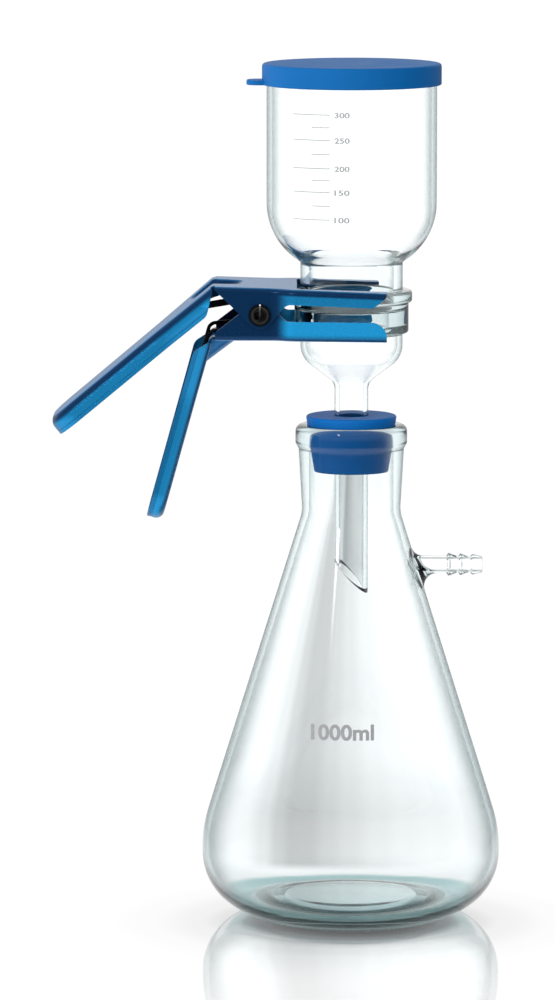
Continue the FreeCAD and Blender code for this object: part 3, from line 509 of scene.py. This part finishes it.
glass_skin, given, result = group("glass_skin", [], "Height")
stretched = add(glass_skin, "ShaderNodeMapping", {"Vector": given["Place"], "Scale": (1, 1, 0.35)})
waves = noise(glass_skin, stretched.outputs[0], 22.0, 1.0)
seeds = add(glass_skin, "ShaderNodeTexVoronoi", {"Vector": given["Place"], "Scale": 160.0})
pit = step_up(glass_skin, seeds.outputs["Distance"], *SEED_EDGE)
glass_skin.links.new(sum_of(glass_skin, "MULTIPLY_ADD", pit, SEED_DEPTH, waves), result)

# A ground band is sanded between two heights, its edge a little uneven.
BAND_SOFT, BAND_RAGGED = 0.0004, 0.0006

ground_band, given, result = group("ground_band", ["From", "To"], "Mask")
height = add(ground_band, "ShaderNodeSeparateXYZ", {"Vector": given["Place"]}).outputs["Z"]
ragged = sum_of(ground_band, "SUBTRACT", noise(ground_band, given["Place"], 900.0), 0.5)
height = sum_of(ground_band, "MULTIPLY_ADD", ragged, BAND_RAGGED, height)
above_foot = sum_of(ground_band, "SUBTRACT", height, given["From"])
below_top = sum_of(ground_band, "SUBTRACT", given["To"], height)
within = [add(ground_band, "ShaderNodeMapRange", {"Value": depth, "From Max": BAND_SOFT}).outputs[0]
          for depth in (above_foot, below_top)]
ground_band.links.new(product(ground_band, *within), result)

GLASS_DEPTH, GLASS_IOR = (0.24, 0.44, 0.46, 1), 1.474
# An upright face turns to EDGE_TONE, a painted shade, as it comes edge-on. Upright goes by the Z of its
# normal.
EDGE_TONE, EDGE_ANGLES, EDGE_UPRIGHT = (0.15, 0.21, 0.22), (0.4, 0.87), (0.85, 0.5)
POLISH, SMEAR, SMEAR_EDGE, SANDED_ROUGH, SANDED_GRAIN = 0.01, 0.015, (0.5, 0.8), 0.4, 0.6


def bumped(tree, height, strength, distance, **more):
    """The normal of a surface raised by distance where the height is 1."""
    inputs = {"Height": height, "Strength": strength, "Distance": distance, **more}
    return add(tree, "ShaderNodeBump", inputs).outputs[0]


def finished(tree, output, inputs):
    """Puts a Principled shader with these inputs on the material's surface."""
    shader = add(tree, "ShaderNodeBsdfPrincipled", inputs)
    tree.links.new(shader.outputs[0], output.inputs["Surface"])


def clear_glass(name, density, band):
    """Clear glass that greys with depth, with painted shade towards its edges, sanded between the band's
    heights.
    """
    made, tree, output = material(name)
    place = add(tree, "ShaderNodeTexCoord").outputs["Object"]
    skin, sanded = (add(tree, "ShaderNodeGroup", node_tree=of) for of in (glass_skin, ground_band))
    for part in (skin, sanded):
        tree.links.new(place, part.inputs["Place"])
    sanded.inputs["From"].default_value, sanded.inputs["To"].default_value = band
    grains = product(tree, sanded.outputs["Mask"], noise(tree, place, 2500.0))
    height = sum_of(tree, "MULTIPLY_ADD", grains, SANDED_GRAIN, skin.outputs["Height"])
    smear = step_up(tree, noise(tree, place, 30.0, 3.0), *SMEAR_EDGE)
    smear = sum_of(tree, "MULTIPLY_ADD", smear, SMEAR, POLISH)
    geometry = add(tree, "ShaderNodeNewGeometry").outputs
    steep = add(tree, "ShaderNodeSeparateXYZ", {"Vector": geometry["Normal"]}).outputs["Z"]
    upright = step_up(tree, sum_of(tree, "ABSOLUTE", steep), *EDGE_UPRIGHT)
    facing = add(tree, "ShaderNodeLayerWeight", {"Blend": 0.5}).outputs["Facing"]
    # Painted edge shade: the tint darkens as a face turns edge-on to the view.
    edge = product(tree, step_up(tree, facing, *EDGE_ANGLES), upright)
    edge = product(tree, edge, sum_of(tree, "SUBTRACT", 1.0, geometry["Backfacing"]))
    finished(tree, output, {
        "Base Color": mixed(tree, edge, (1, 1, 1), EDGE_TONE), "IOR": GLASS_IOR,
        "Transmission Weight": 1.0, "Normal": bumped(tree, height, 0.25, 0.0001),
        "Roughness": sum_of(tree, "MULTIPLY_ADD", sanded.outputs["Mask"], SANDED_ROUGH, smear)})
    depth = add(tree, "ShaderNodeVolumeAbsorption", {"Color": GLASS_DEPTH, "Density": density})
    tree.links.new(depth.outputs[0], output.inputs["Volume"])
    return made


flask_glass = clear_glass("flask_glass", 38.0, (-0.001, 0.0006))
flask = piece("flask_glassware", vertices, quads, flask_glass)
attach(flask, "glassware")
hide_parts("flask")


# The grey card: painted shade on a graded translucent sheet close behind the flask and nearly as tall.
# It is seen only through glass, and its tone follows the cone: white, grey left of the middle, white
# again.
CARD_Y, CARD_HALF = 0.072, 0.09
CARD_GROWTH = 1 + CARD_Y / CAMERA_DISTANCE
CARD_DROP = CARD_Y * math.tan(CAMERA_ELEVATION)
CARD_TOP, CARD_FADE_TOP, CARD_FADE_FOOT = 0.22, 0.2, 0.006
# Share of the cone's width from its left edge, 0, to its right edge, 1, with the painted shade there.
TONES = [
    (0.13, 1.0), (0.20, 0.86), (0.25, 0.67), (0.30, 0.58), (0.36, 0.59), (0.43, 0.69), (0.5, 0.78),
    (0.6, 0.89), (0.7, 0.96), (0.8, 1.0),
]
# Light that crossed the stem as well has met more than the flask's own surfaces. Painted shade
# darkens it above the stem's tip.
STEM_SURFACES, STEM_SHADE, STEM_TIP_Z = 6.5, 0.3, (0.13, 0.15)

graded, tree, output = material("graded_sheet")
place = add(tree, "ShaderNodeTexCoord").outputs["Object"]
spot = add(tree, "ShaderNodeSeparateXYZ", {"Vector": place}).outputs
slope = math.tan(CONE_TILT)
foot_r = (FLASK_R + HEEL_Z * slope) * MM - CARD_DROP * slope
cone = sum_of(tree, "MINIMUM", FLASK_R * MM, sum_of(tree, "MULTIPLY_ADD", spot["Z"], -slope, foot_r))
share = sum_of(tree, "DIVIDE", spot["X"], product(tree, cone, 2 * CARD_GROWTH))
tone = ramp(tree, sum_of(tree, "ADD", share, 0.5), TONES)
fade = product(tree, step_up(tree, spot["Z"], 0.0, CARD_FADE_FOOT),
               step_up(tree, spot["Z"], CARD_TOP, CARD_FADE_TOP))
tone = mixed(tree, fade, (1, 1, 1), tone)
crossed = beyond(tree, add(tree, "ShaderNodeLightPath").outputs["Transmission Depth"], STEM_SURFACES)
stem = product(tree, crossed, step_up(tree, spot["Z"], *STEM_TIP_Z))
tone = mixed(tree, product(tree, stem, STEM_SHADE), tone, (0, 0, 0))
sheet = add(tree, "ShaderNodeBsdfTransparent", {"Color": tone})
tree.links.new(sheet.outputs[0], output.inputs["Surface"])
corners = np.array([(-1, 0), (1, 0), (1, 1), (-1, 1)]) * (CARD_HALF, CARD_TOP)
vertices = np.insert(corners, 1, CARD_Y, 1)
card = piece("grey_card", vertices, np.arange(4), graded, smooth=False)
card.visible_camera = card.visible_diffuse = card.visible_glossy = card.visible_shadow = False


# The filter base: a ground head with a seat for the disc, a round bulb and a long stem ground off
# at a slant, blown and fused as one piece of clear glass.
BASE_SLOPE = math.tan(math.radians(37))
BULB_R, INNER_BULB_R, BULB_WALL, BULB_Z = 23.1, 20.9, 2.2, 254.8
HEAD_R, HEAD_Z, HEAD_FACE_Z, THROAT_R, THROAT_Z = 25.8, 266, 279.97, 17, 269
SEAT_R, SEAT_Z = 18.55, 275.95
STEM_R, STEM_BORE_R, TIP_Z, TIP_FADE_Z, TIP_TURN = 7.6, 5.6, 146.6, 202.0, math.radians(-14)
STEM_TOP_Z = BULB_Z - (BULB_R - STEM_R) * BASE_SLOPE
INNER_BULB_Z = BULB_Z + BULB_WALL * math.sqrt(1 + BASE_SLOPE ** 2) - BULB_WALL * BASE_SLOPE
INNER_STEM_Z = INNER_BULB_Z - (INNER_BULB_R - STEM_BORE_R) * BASE_SLOPE
base_line, _ = outline([
    (STEM_R, TIP_Z, 0.5), (STEM_R, STEM_TOP_Z, 6), (BULB_R, BULB_Z, 11), (BULB_R, HEAD_Z, 0.8),
    (HEAD_R, HEAD_Z, 1.2), (HEAD_R, HEAD_FACE_Z, 0.8), (SEAT_R, HEAD_FACE_Z, 0.3), (SEAT_R, SEAT_Z),
    (THROAT_R, SEAT_Z, 0.3), (THROAT_R, THROAT_Z, 2), (INNER_BULB_R, HEAD_Z, 2),
    (INNER_BULB_R, INNER_BULB_Z, 8.8), (STEM_BORE_R, INNER_STEM_Z, 6), (STEM_BORE_R, TIP_Z, 0.5),
], closed=True, longest=2.2)
vertices, _, quads = turned(base_line, 128, closed=True)
# The stem's points are raised, more towards the tip and away from its low side: that slants the cut.
fade = np.clip((TIP_FADE_Z * MM - vertices[:, 2]) / ((TIP_FADE_Z - TIP_Z) * MM), 0, 1)
low_side = vertices[:, 0] * math.cos(TIP_TURN) + vertices[:, 1] * math.sin(TIP_TURN)
vertices[:, 2] += fade * (STEM_R * MM - low_side)
base_glass = clear_glass("base_glass", 38.0, (0.2792, 0.2806))
base = piece("filter_base_glass", vertices, quads, base_glass)
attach(base, "glassware")
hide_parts("filter_base")


# The funnel: a ground flange on a short neck and a round graduated bowl, its rim fire-polished.
FUNNEL_SLOPE = math.tan(math.radians(35))
FUNNEL_R, INNER_FUNNEL_R, FUNNEL_WALL, FUNNEL_TOP = 38.4, 36.1, 2.3, 385.4
RIM_R, RIM_INNER_Z = 37.0, 384.5
FLANGE_R, FLANGE_FACE_Z, FLANGE_Z = 27.4, 280.03, 285.2
SHOULDER_Z, INNER_SHOULDER_R = 298, 19.2
BOWL_Z = SHOULDER_Z + (FUNNEL_R - BULB_R) * FUNNEL_SLOPE
INNER_BOWL_Z = BOWL_Z + FUNNEL_WALL * math.sqrt(1 + FUNNEL_SLOPE ** 2) - FUNNEL_WALL * FUNNEL_SLOPE
INNER_NECK_Z = INNER_BOWL_Z - (INNER_FUNNEL_R - INNER_SHOULDER_R) * FUNNEL_SLOPE
funnel_line, _ = outline([
    (FLANGE_R, FLANGE_FACE_Z, 1), (FLANGE_R, FLANGE_Z, 1.4), (BULB_R, FLANGE_Z, 0.6),
    (BULB_R, SHOULDER_Z, 1.2), (FUNNEL_R, BOWL_Z, 31), (FUNNEL_R, FUNNEL_TOP, 1),
    (RIM_R, FUNNEL_TOP, 0.4), (INNER_FUNNEL_R, RIM_INNER_Z, 0.3), (INNER_FUNNEL_R, INNER_BOWL_Z, 24),
    (INNER_SHOULDER_R, INNER_NECK_Z, 3), (INNER_SHOULDER_R, FLANGE_FACE_Z, 0.3),
], closed=True, longest=2.2)
vertices, _, quads = turned(funnel_line, 160, closed=True)
funnel_glass = clear_glass("funnel_glass", 34.0, (0.2794, 0.2808))
funnel = piece("funnel_glassware", vertices, quads, funnel_glass)
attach(funnel, "glassware")
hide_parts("funnel")


# The scale and the volume: grey ceramic ink, screened on the glass and fired. The scale has long
# lines every 50, short ones between them and numbers beside the long ones.
INK_THICK, INK_LIFT, LETTER_DEPTH = 0.05, 0.02, 0.01
LINE_HALF, LINE_STEPS = 0.17, 12
SCALE_LINES = {300: 366.8, 250: 355.5, 200: 342.9, 150: 332.3, 100: 320.0}
LONG_FROM, SHORT_FROM, LINE_TO = (math.radians(a) for a in (-43.4, -28.5, -15.4))
# Each print's width, height, place across, and how much its letters are swollen.
NUMBER_PRINT, NUMBER_DROP = (6.8, 2.45, -4.8, 0.018), 1.35
VOLUME_PRINT, VOLUME_Z = (28.7, 7.0, -4.5, 0.03), 87.5

ink, tree, output = material("grey_ceramic_ink")
speckle = noise(tree, add(tree, "ShaderNodeTexCoord").outputs["Object"], 1800.0, 3.0)
finished(tree, output, {
    "Base Color": mixed(tree, speckle, (0.30, 0.31, 0.32), (0.42, 0.43, 0.44)), "Roughness": 0.55,
    "Normal": bumped(tree, speckle, 0.3, 0.00003)})


def arc_bars(heights, starts, radius):
    """Closed bars on the glass: a flat rectangle carried round the axis from each start to LINE_TO."""
    t = np.linspace(0, 1, LINE_STEPS + 1)
    angle = np.array(starts)[:, None] * (1 - t) + LINE_TO * t
    up = np.array([-1, 1, 1, -1]) * LINE_HALF
    out = radius + INK_LIFT + np.array([0, 0, 1, 1]) * INK_THICK
    angle = angle[:, :, None] + 0 * up
    bars = np.stack([out * np.sin(angle), -out * np.cos(angle),
                     np.array(heights)[:, None, None] + up + 0 * angle], -1) * MM
    number = np.arange(bars[..., 0].size).reshape(bars.shape[:3])
    over = np.roll(number, -1, 2)
    walls = np.stack([number[:, :-1], number[:, 1:], over[:, 1:], over[:, :-1]], -1).reshape(-1, 4)
    ends = np.vstack([number[:, 0, :], number[:, -1, ::-1]])
    return bars.reshape(-1, 3), np.vstack([walls, ends])


def screened(text, print_size, base_z, radius_at):
    """Text as thin ink on the glass, returned as vertices and faces.

    A point at distance s along the line goes to turn s / radius, and its height stays.
    """
    width, height, centre_x, bold = print_size
    curve = bpy.data.curves.new(text, "FONT")
    curve.body = text
    curve.align_x = "CENTER"
    curve.resolution_u = 5
    curve.offset = bold
    curve.extrude = LETTER_DEPTH
    letters = bpy.data.objects.new(text, curve)
    scene.collection.objects.link(letters)
    bpy.context.view_layer.update()
    evaluated = letters.evaluated_get(bpy.context.evaluated_depsgraph_get())
    flat = bpy.data.meshes.new_from_object(evaluated)
    at = np.zeros(len(flat.vertices) * 3)
    flat.vertices.foreach_get("co", at)
    at = at.reshape(-1, 3)
    faces = [list(p.vertices) for p in flat.polygons]
    bpy.data.objects.remove(letters)
    bpy.data.curves.remove(curve)
    bpy.data.meshes.remove(flat)
    low, high = at.min(0), at.max(0)
    at[:, 0] = (at[:, 0] - (low[0] + high[0]) / 2) * width / (high[0] - low[0])
    at[:, 1] = base_z + (at[:, 1] - low[1]) * height / (high[1] - low[1])
    radius = radius_at(at[:, 1])
    out = radius + INK_LIFT + INK_THICK * (at[:, 2] > 0)
    angle = (at[:, 0] + centre_x) / radius
    return np.stack([out * np.sin(angle), -out * np.cos(angle), at[:, 1]], -1) * MM, faces


def turned_out(made):
    """Merges the doubles of an object's mesh and turns its faces outwards."""
    merging = bmesh.new()
    merging.from_mesh(made.data)
    bmesh.ops.remove_doubles(merging, verts=merging.verts, dist=1e-7)
    bmesh.ops.recalc_face_normals(merging, faces=merging.faces)
    merging.to_mesh(made.data)
    merging.free()


def merged(name, parts):
    """One object of ink from several pairs of vertices and faces."""
    vertices, faces, count = [], [], 0
    for at, polygons in parts:
        vertices += at.tolist()
        faces += [[count + i for i in polygon] for polygon in polygons]
        count += len(at)
    made = placed(name, vertices, faces, ink)
    turned_out(made)
    return made


levels = sorted(SCALE_LINES.values(), reverse=True)
halves = [(a + b) / 2 for a, b in zip(levels, levels[1:])]
bars = arc_bars(levels + halves, [LONG_FROM] * len(levels) + [SHORT_FROM] * len(halves), FUNNEL_R)
numbers = [screened(str(value), NUMBER_PRINT, z - NUMBER_DROP, lambda h: FUNNEL_R + 0 * h)
           for value, z in SCALE_LINES.items()]
scale = merged("funnel_scale", [(bars[0], bars[1].tolist()), *numbers])
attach(scale, "glassware")
volume = merged("flask_volume", [screened("1000ml", VOLUME_PRINT, VOLUME_Z, cone_r)])
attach(volume, "glassware")


# The stopper and the lid: moulded blue rubber, one bored for the stem and the other with a pull tab.
# Both carry the mould's fine texture and a faint bloom. A finish's roughness is given as how much
# its noise adds, then the least there is.
RUBBER_ROUGHNESS = (0.2, 0.4)


def blue_rubber(name, deep, pale):
    """Satin rubber whose colour drifts between deep and pale."""
    made, tree, output = material(name)
    place = add(tree, "ShaderNodeTexCoord").outputs["Object"]
    drift = noise(tree, place, 45.0, 4.0)
    finished(tree, output, {
        "Base Color": mixed(tree, drift, deep, pale), "Specular IOR Level": 0.12,
        "Roughness": sum_of(tree, "MULTIPLY_ADD", drift, *RUBBER_ROUGHNESS),
        "Normal": bumped(tree, noise(tree, place, 2600.0), 0.35, 0.00006)})
    return made


nodes["stopper"].material_slots[0].material = blue_rubber(
    "stopper_rubber", (0.001, 0.145, 0.5), (0.002, 0.17, 0.58))
nodes["lid"].material_slots[0].material = blue_rubber(
    "lid_rubber", (0.001, 0.125, 0.40), (0.002, 0.15, 0.47))


# The disc: glass beads sintered together until they just hold, white and rough like packed sugar.
sintered, tree, output = material("sintered_beads")
place = add(tree, "ShaderNodeTexCoord").outputs["Object"]
beads = add(tree, "ShaderNodeTexVoronoi", {"Vector": place, "Scale": 2200.0}).outputs["Distance"]
clumps = noise(tree, place, 300.0, 3.0)
finished(tree, output, {
    "Base Color": mixed(tree, clumps, (0.80, 0.82, 0.82), (0.9, 0.91, 0.91)), "Roughness": 0.75,
    "Normal": bumped(tree, beads, 0.6, 0.0002)})
nodes["fritted_disc"].material_slots[0].material = sintered


# The clamp's jaws: steel sheet, pressed and folded, then lacquered in clear metallic blue. Light
# and shade are painted into the lacquer's colour: painted shade over the bends and the ears, painted
# light on the open walls.
# Painted light blue, painted navy shade, and the outer faces' painted tone.
JAW_PAINTED_LIGHT_BLUE, JAW_PAINTED_SHADE_NAVY, JAW_PAINTED_TOP_TONE = (0.018, 0.45, 0.95), (0.002, 0.04, 0.13), (0.025, 0.19, 0.46)
JAW_ROUGHNESS, JAW_DRIFT = (0.1, 0.22), (0.3, 0.85)
PIVOT_X, PIVOT_Z = -41.4, 276.25
# In metres: the distances ahead of the pivot, and behind it, between which the open walls' painted
# light starts, and the depths below the outer faces between which their painted tone ends.
FORK_FROM, HANDLE_FROM, FACE_TO = (0.007, 0.014), (-0.0205, -0.024), (0.0008, 0.0002)
# At a hem the painted brightness changes by HEM_LOSS of itself within HEM_SOFT millimetres, as painted
# shade. At a handle's end, HANDLE_END millimetres from the pivot, END_LEFT of it is left, as painted
# shade.
HEM_LOSS, HEM_SOFT, END_GAIN, END_LEFT = -0.4, 0.8, 0.6, 0.4
HANDLE_END, HANDLE_END_SOFT = 108.0, 6.0
# How a jaw's two outer faces meet, and each face as (direction in X, direction in Z, distance out
# from the origin), with the depths below it, in millimetres, between which the painted light comes in,
# the depth at which painted shade comes back at the hem, and how bright the painted light gets.
JAW_FACES = {
    "upper_jaw": ("MINIMUM", [
        ((0.0314, 0.9995, 287.0), (2.2, 4.0, 9.0, 1.0)),
        ((-0.640, 0.768, 262.15), (2.0, 4.8, 6.2, 0.95))]),
    "lower_jaw": ("MAXIMUM", [
        ((0.0, -1.0, -264.4), (0.6, 3.6, 9.0, 1.0)),
        ((0.963, -0.269, -131.4), (0.4, 2.6, 5.0, 0.62))]),
}


def blue_sheet(name, meeting, faces):
    """Metallic blue lacquer with painted light and shade, bright well below the faces. Depth is out less
    (x, z) dot direction.
    """
    made, tree, output = material(name)
    place = add(tree, "ShaderNodeTexCoord").outputs["Object"]
    spot = add(tree, "ShaderNodeSeparateXYZ", {"Vector": place}).outputs
    # thin is the painted light: painted bright blue where it is 1, painted navy shade or painted top
    # tone where it is 0.
    depths, painted_lights = [], []
    for (in_x, in_z, out), (low, high, hem, most) in faces:
        depth = sum_of(tree, "MULTIPLY_ADD", spot["X"], -in_x, out * MM)
        depths.append(sum_of(tree, "MULTIPLY_ADD", spot["Z"], -in_z, depth))
        hem_painted_shade = step_up(tree, depths[-1], hem * MM, (hem + HEM_SOFT) * MM)
        hem_painted_shade = sum_of(tree, "MULTIPLY_ADD", hem_painted_shade, HEM_LOSS * most, most)
        painted_lights.append(product(tree, step_up(tree, depths[-1], low * MM, high * MM), hem_painted_shade))
    thin = sum_of(tree, meeting, *painted_lights)
    ahead = sum_of(tree, "ADD", spot["X"], -PIVOT_X * MM)
    open_wall = sum_of(
        tree, "MAXIMUM", step_up(tree, ahead, *FORK_FROM), step_up(tree, ahead, *HANDLE_FROM))
    thin = product(tree, thin, open_wall)
    above = sum_of(tree, "ADD", spot["Z"], -PIVOT_Z * MM)
    squares = sum_of(tree, "MULTIPLY_ADD", ahead, ahead, product(tree, above, above))
    from_pivot = sum_of(tree, "SQRT", squares)
    # Painted shade towards the handles' far ends.
    end = step_up(tree, from_pivot, HANDLE_END * MM, (HANDLE_END - HANDLE_END_SOFT) * MM)
    thin = product(tree, thin, sum_of(tree, "MULTIPLY_ADD", end, END_GAIN, END_LEFT))
    # The outer faces get a painted lighter tone in place of the painted navy shade.
    face = step_up(tree, sum_of(tree, meeting, *depths), *FACE_TO)
    drift = noise(tree, place, 35.0, 3.0)
    thin = product(tree, thin, sum_of(tree, "MULTIPLY_ADD", drift, *JAW_DRIFT))
    flake = noise(tree, place, 3000.0, 1.0)
    rounded = add(tree, "ShaderNodeBevel", {"Radius": 0.0003}, samples=6)
    finished(tree, output, {
        "Base Color": mixed(tree, thin, mixed(tree, face, JAW_PAINTED_SHADE_NAVY, JAW_PAINTED_TOP_TONE), JAW_PAINTED_LIGHT_BLUE),
        "Metallic": 0.4, "Specular IOR Level": 0.25, "Coat Weight": 0.05, "Coat Roughness": 0.12,
        "Roughness": sum_of(tree, "MULTIPLY_ADD", flake, *JAW_ROUGHNESS),
        "Normal": bumped(tree, flake, 0.06, 0.00005, Normal=rounded.outputs[0])})
    return made


for name, (meeting, faces) in JAW_FACES.items():
    nodes[name].material_slots[0].material = blue_sheet(name + "_lacquer_painted_shade", meeting, faces)


# The hinge pin and the spring: blackened spring steel, oiled, with bright rubs on the high spots
# and a painted highlight ring on the pin's ends.
HIGHLIGHT_RING_R, HIGHLIGHT_RING_EDGE = 3.5, (0.0007, 0.0002)
RUB_EDGE, STEEL_ROUGHNESS = (0.55, 0.8), (0.2, 0.28)


def black_steel(name):
    """Blackened steel with a soft oily sheen, bright rubs and a painted highlight ring round the pin's
    axis.
    """
    made, tree, output = material(name)
    place = add(tree, "ShaderNodeTexCoord").outputs["Object"]
    scuffs = noise(tree, place, 400.0, 4.0)
    pivot = (PIVOT_X * MM, 0, PIVOT_Z * MM)
    from_pin = add(tree, "ShaderNodeVectorMath", {0: place, 1: pivot}, operation="SUBTRACT")
    from_axis = add(
        tree, "ShaderNodeVectorMath", {0: from_pin.outputs[0], 1: (1, 0, 1)}, operation="MULTIPLY")
    off_ring = sum_of(tree, "SUBTRACT", length(tree, from_axis.outputs[0]), HIGHLIGHT_RING_R * MM)
    # A painted highlight ring round the pin's axis.
    ring = step_up(tree, sum_of(tree, "ABSOLUTE", off_ring), *HIGHLIGHT_RING_EDGE)
    rubs_and_highlight = sum_of(tree, "MAXIMUM", step_up(tree, scuffs, *RUB_EDGE), ring)
    finished(tree, output, {
        "Base Color": mixed(tree, rubs_and_highlight, (0.012, 0.012, 0.013), (0.085, 0.082, 0.08)), "Metallic": 0.8,
        "Roughness": sum_of(tree, "MULTIPLY_ADD", scuffs, *STEEL_ROUGHNESS),
        "Normal": bumped(tree, scuffs, 0.3, 0.00004)})
    return made


steel = black_steel("black_steel_finish")
nodes["hinge_pin"].material_slots[0].material = steel


# The spring: one length of round wire, a loop under the upper handle, a coil on each side round
# the pin and two legs down the lower handle. The legs turn with that handle.
WIRE_R, LEG_WIRE_R, WIRE_BEND, BEND_STEPS, WIRE_SIDES = 0.85, 0.84, 3.5, 8, 14
PIVOT, COIL_R, LOOP_HALF, COIL_END_Y = np.array([PIVOT_X, 0.0, PIVOT_Z]), 5.95, 7.5, 16.5
COIL_STEPS, LEG_TAIL_STEPS, TURNS_DOWN = 149, 4, -4 * 360
LOOP_FAR, LOOP_NEAR = np.array([-82.74, 0.0, 269.15]), np.array([-73.52, 0.0, 276.83])
LEG_NEAR, LEG_FAR = np.array([-64.14, 0.0, 268.31]), np.array([-71.27, 0.0, 242.79])
LOOP_ANGLE, COIL_STOP, LEG_ANGLE, LEG_TAIL = 99.64, TURNS_DOWN - 80.36, -85.05, -64.0
ALONG_Y = np.array([0.0, 1.0, 0.0])


def on_coil(angles, y):
    """Points pivot + COIL_R (cos a, sin a) at these angles in degrees from +X towards +Z."""
    a = np.radians(angles)
    return PIVOT + np.stack([COIL_R * np.cos(a), y + 0 * a, COIL_R * np.sin(a)], -1)


def bend(before, corner, after):
    """An arc of WIRE_BEND that touches the runs from a corner to the points before and after it."""
    u, v = before - corner, after - corner
    u, v = u / np.linalg.norm(u), v / np.linalg.norm(v)
    half = math.acos(u @ v) / 2
    centre = corner + (u + v) / np.linalg.norm(u + v) * WIRE_BEND / math.sin(half)
    grip = WIRE_BEND / math.tan(half)
    return swing(centre, corner + u * grip, corner + v * grip, BEND_STEPS)


def wire(path, flat, flat_out, radius):
    """Rings path + radius (cos a out + sin a along x out), with a disc at each end.

    Out is flat_out on the first flat points and y x along, across the wire, on the others.
    """
    steps = np.diff(path, axis=0)
    steps /= np.linalg.norm(steps, axis=1, keepdims=True)
    along = np.vstack([steps[:1], steps[:-1] + steps[1:], steps[-1:]])
    along /= np.linalg.norm(along, axis=1, keepdims=True)
    out = np.cross(ALONG_Y, along)
    out[:flat] = flat_out
    out /= np.linalg.norm(out, axis=1, keepdims=True)
    a = (np.arange(WIRE_SIDES) * 2 * math.pi / WIRE_SIDES)[:, None, None]
    rings = path + radius * (np.cos(a) * out + np.sin(a) * np.cross(along, out))
    discs = np.repeat(path[[0, -1], None], WIRE_SIDES, 1)
    return np.concatenate([rings.transpose(1, 0, 2), discs])


def both_sides(name, rings, capped):
    """One closed object from rings and their mirror image in Y, its first ends capped or joined."""
    count, sides, _ = rings.shape
    grid = np.arange(count * sides).reshape(count, sides)
    body, first, last = grid[:-2], grid[-2], grid[-1]
    rows = np.vstack([first[None] if capped else body[:0], body, last[None]])
    across = np.roll(rows, -1, 1)
    quads = np.stack([rows[:-1], across[:-1], across[1:], rows[1:]], -1).reshape(-1, 4)
    vertices = rings.reshape(-1, 3) * MM
    vertices = np.vstack([vertices, vertices * (1, -1, 1)])
    made = piece(name, vertices, np.vstack([quads, quads + count * sides]), steel)
    turned_out(made)
    return made


side = ALONG_Y * LOOP_HALF
coil_start = on_coil(LOOP_ANGLE, LOOP_HALF)
turn = np.linspace(0, 1, COIL_STEPS + 1)
loop_bend = bend(LOOP_FAR, LOOP_FAR + side, LOOP_NEAR + side)
loop = np.vstack([
    [LOOP_FAR], loop_bend, bend(LOOP_FAR + side, LOOP_NEAR + side, coil_start),
    on_coil(LOOP_ANGLE + (COIL_STOP - LOOP_ANGLE) * turn, LOOP_HALF + (COIL_END_Y - LOOP_HALF) * turn),
    on_coil(LEG_ANGLE + TURNS_DOWN, COIL_END_Y)[None],
])
handle_out = np.cross(ALONG_Y, LOOP_NEAR - LOOP_FAR)
loop_wire = wire(loop, 1 + len(loop_bend), handle_out, WIRE_R)
coils = both_sides("spring_loop_and_coils", loop_wire, capped=False)
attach(coils, "glassware")
leg_near, leg_far = LEG_NEAR + ALONG_Y * COIL_END_Y, LEG_FAR + ALONG_Y * COIL_END_Y
leg = np.vstack([
    on_coil(np.linspace(LEG_TAIL, LEG_ANGLE, LEG_TAIL_STEPS + 1), COIL_END_Y),
    bend(on_coil(LEG_ANGLE, COIL_END_Y), leg_near, leg_far), [leg_far],
])
legs = both_sides("spring_legs", wire(leg, 0, ALONG_Y, LEG_WIRE_R), capped=True)
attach(legs, "lower_clamp_jaw")
for part in (coils, legs):
    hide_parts("clamp_spring")
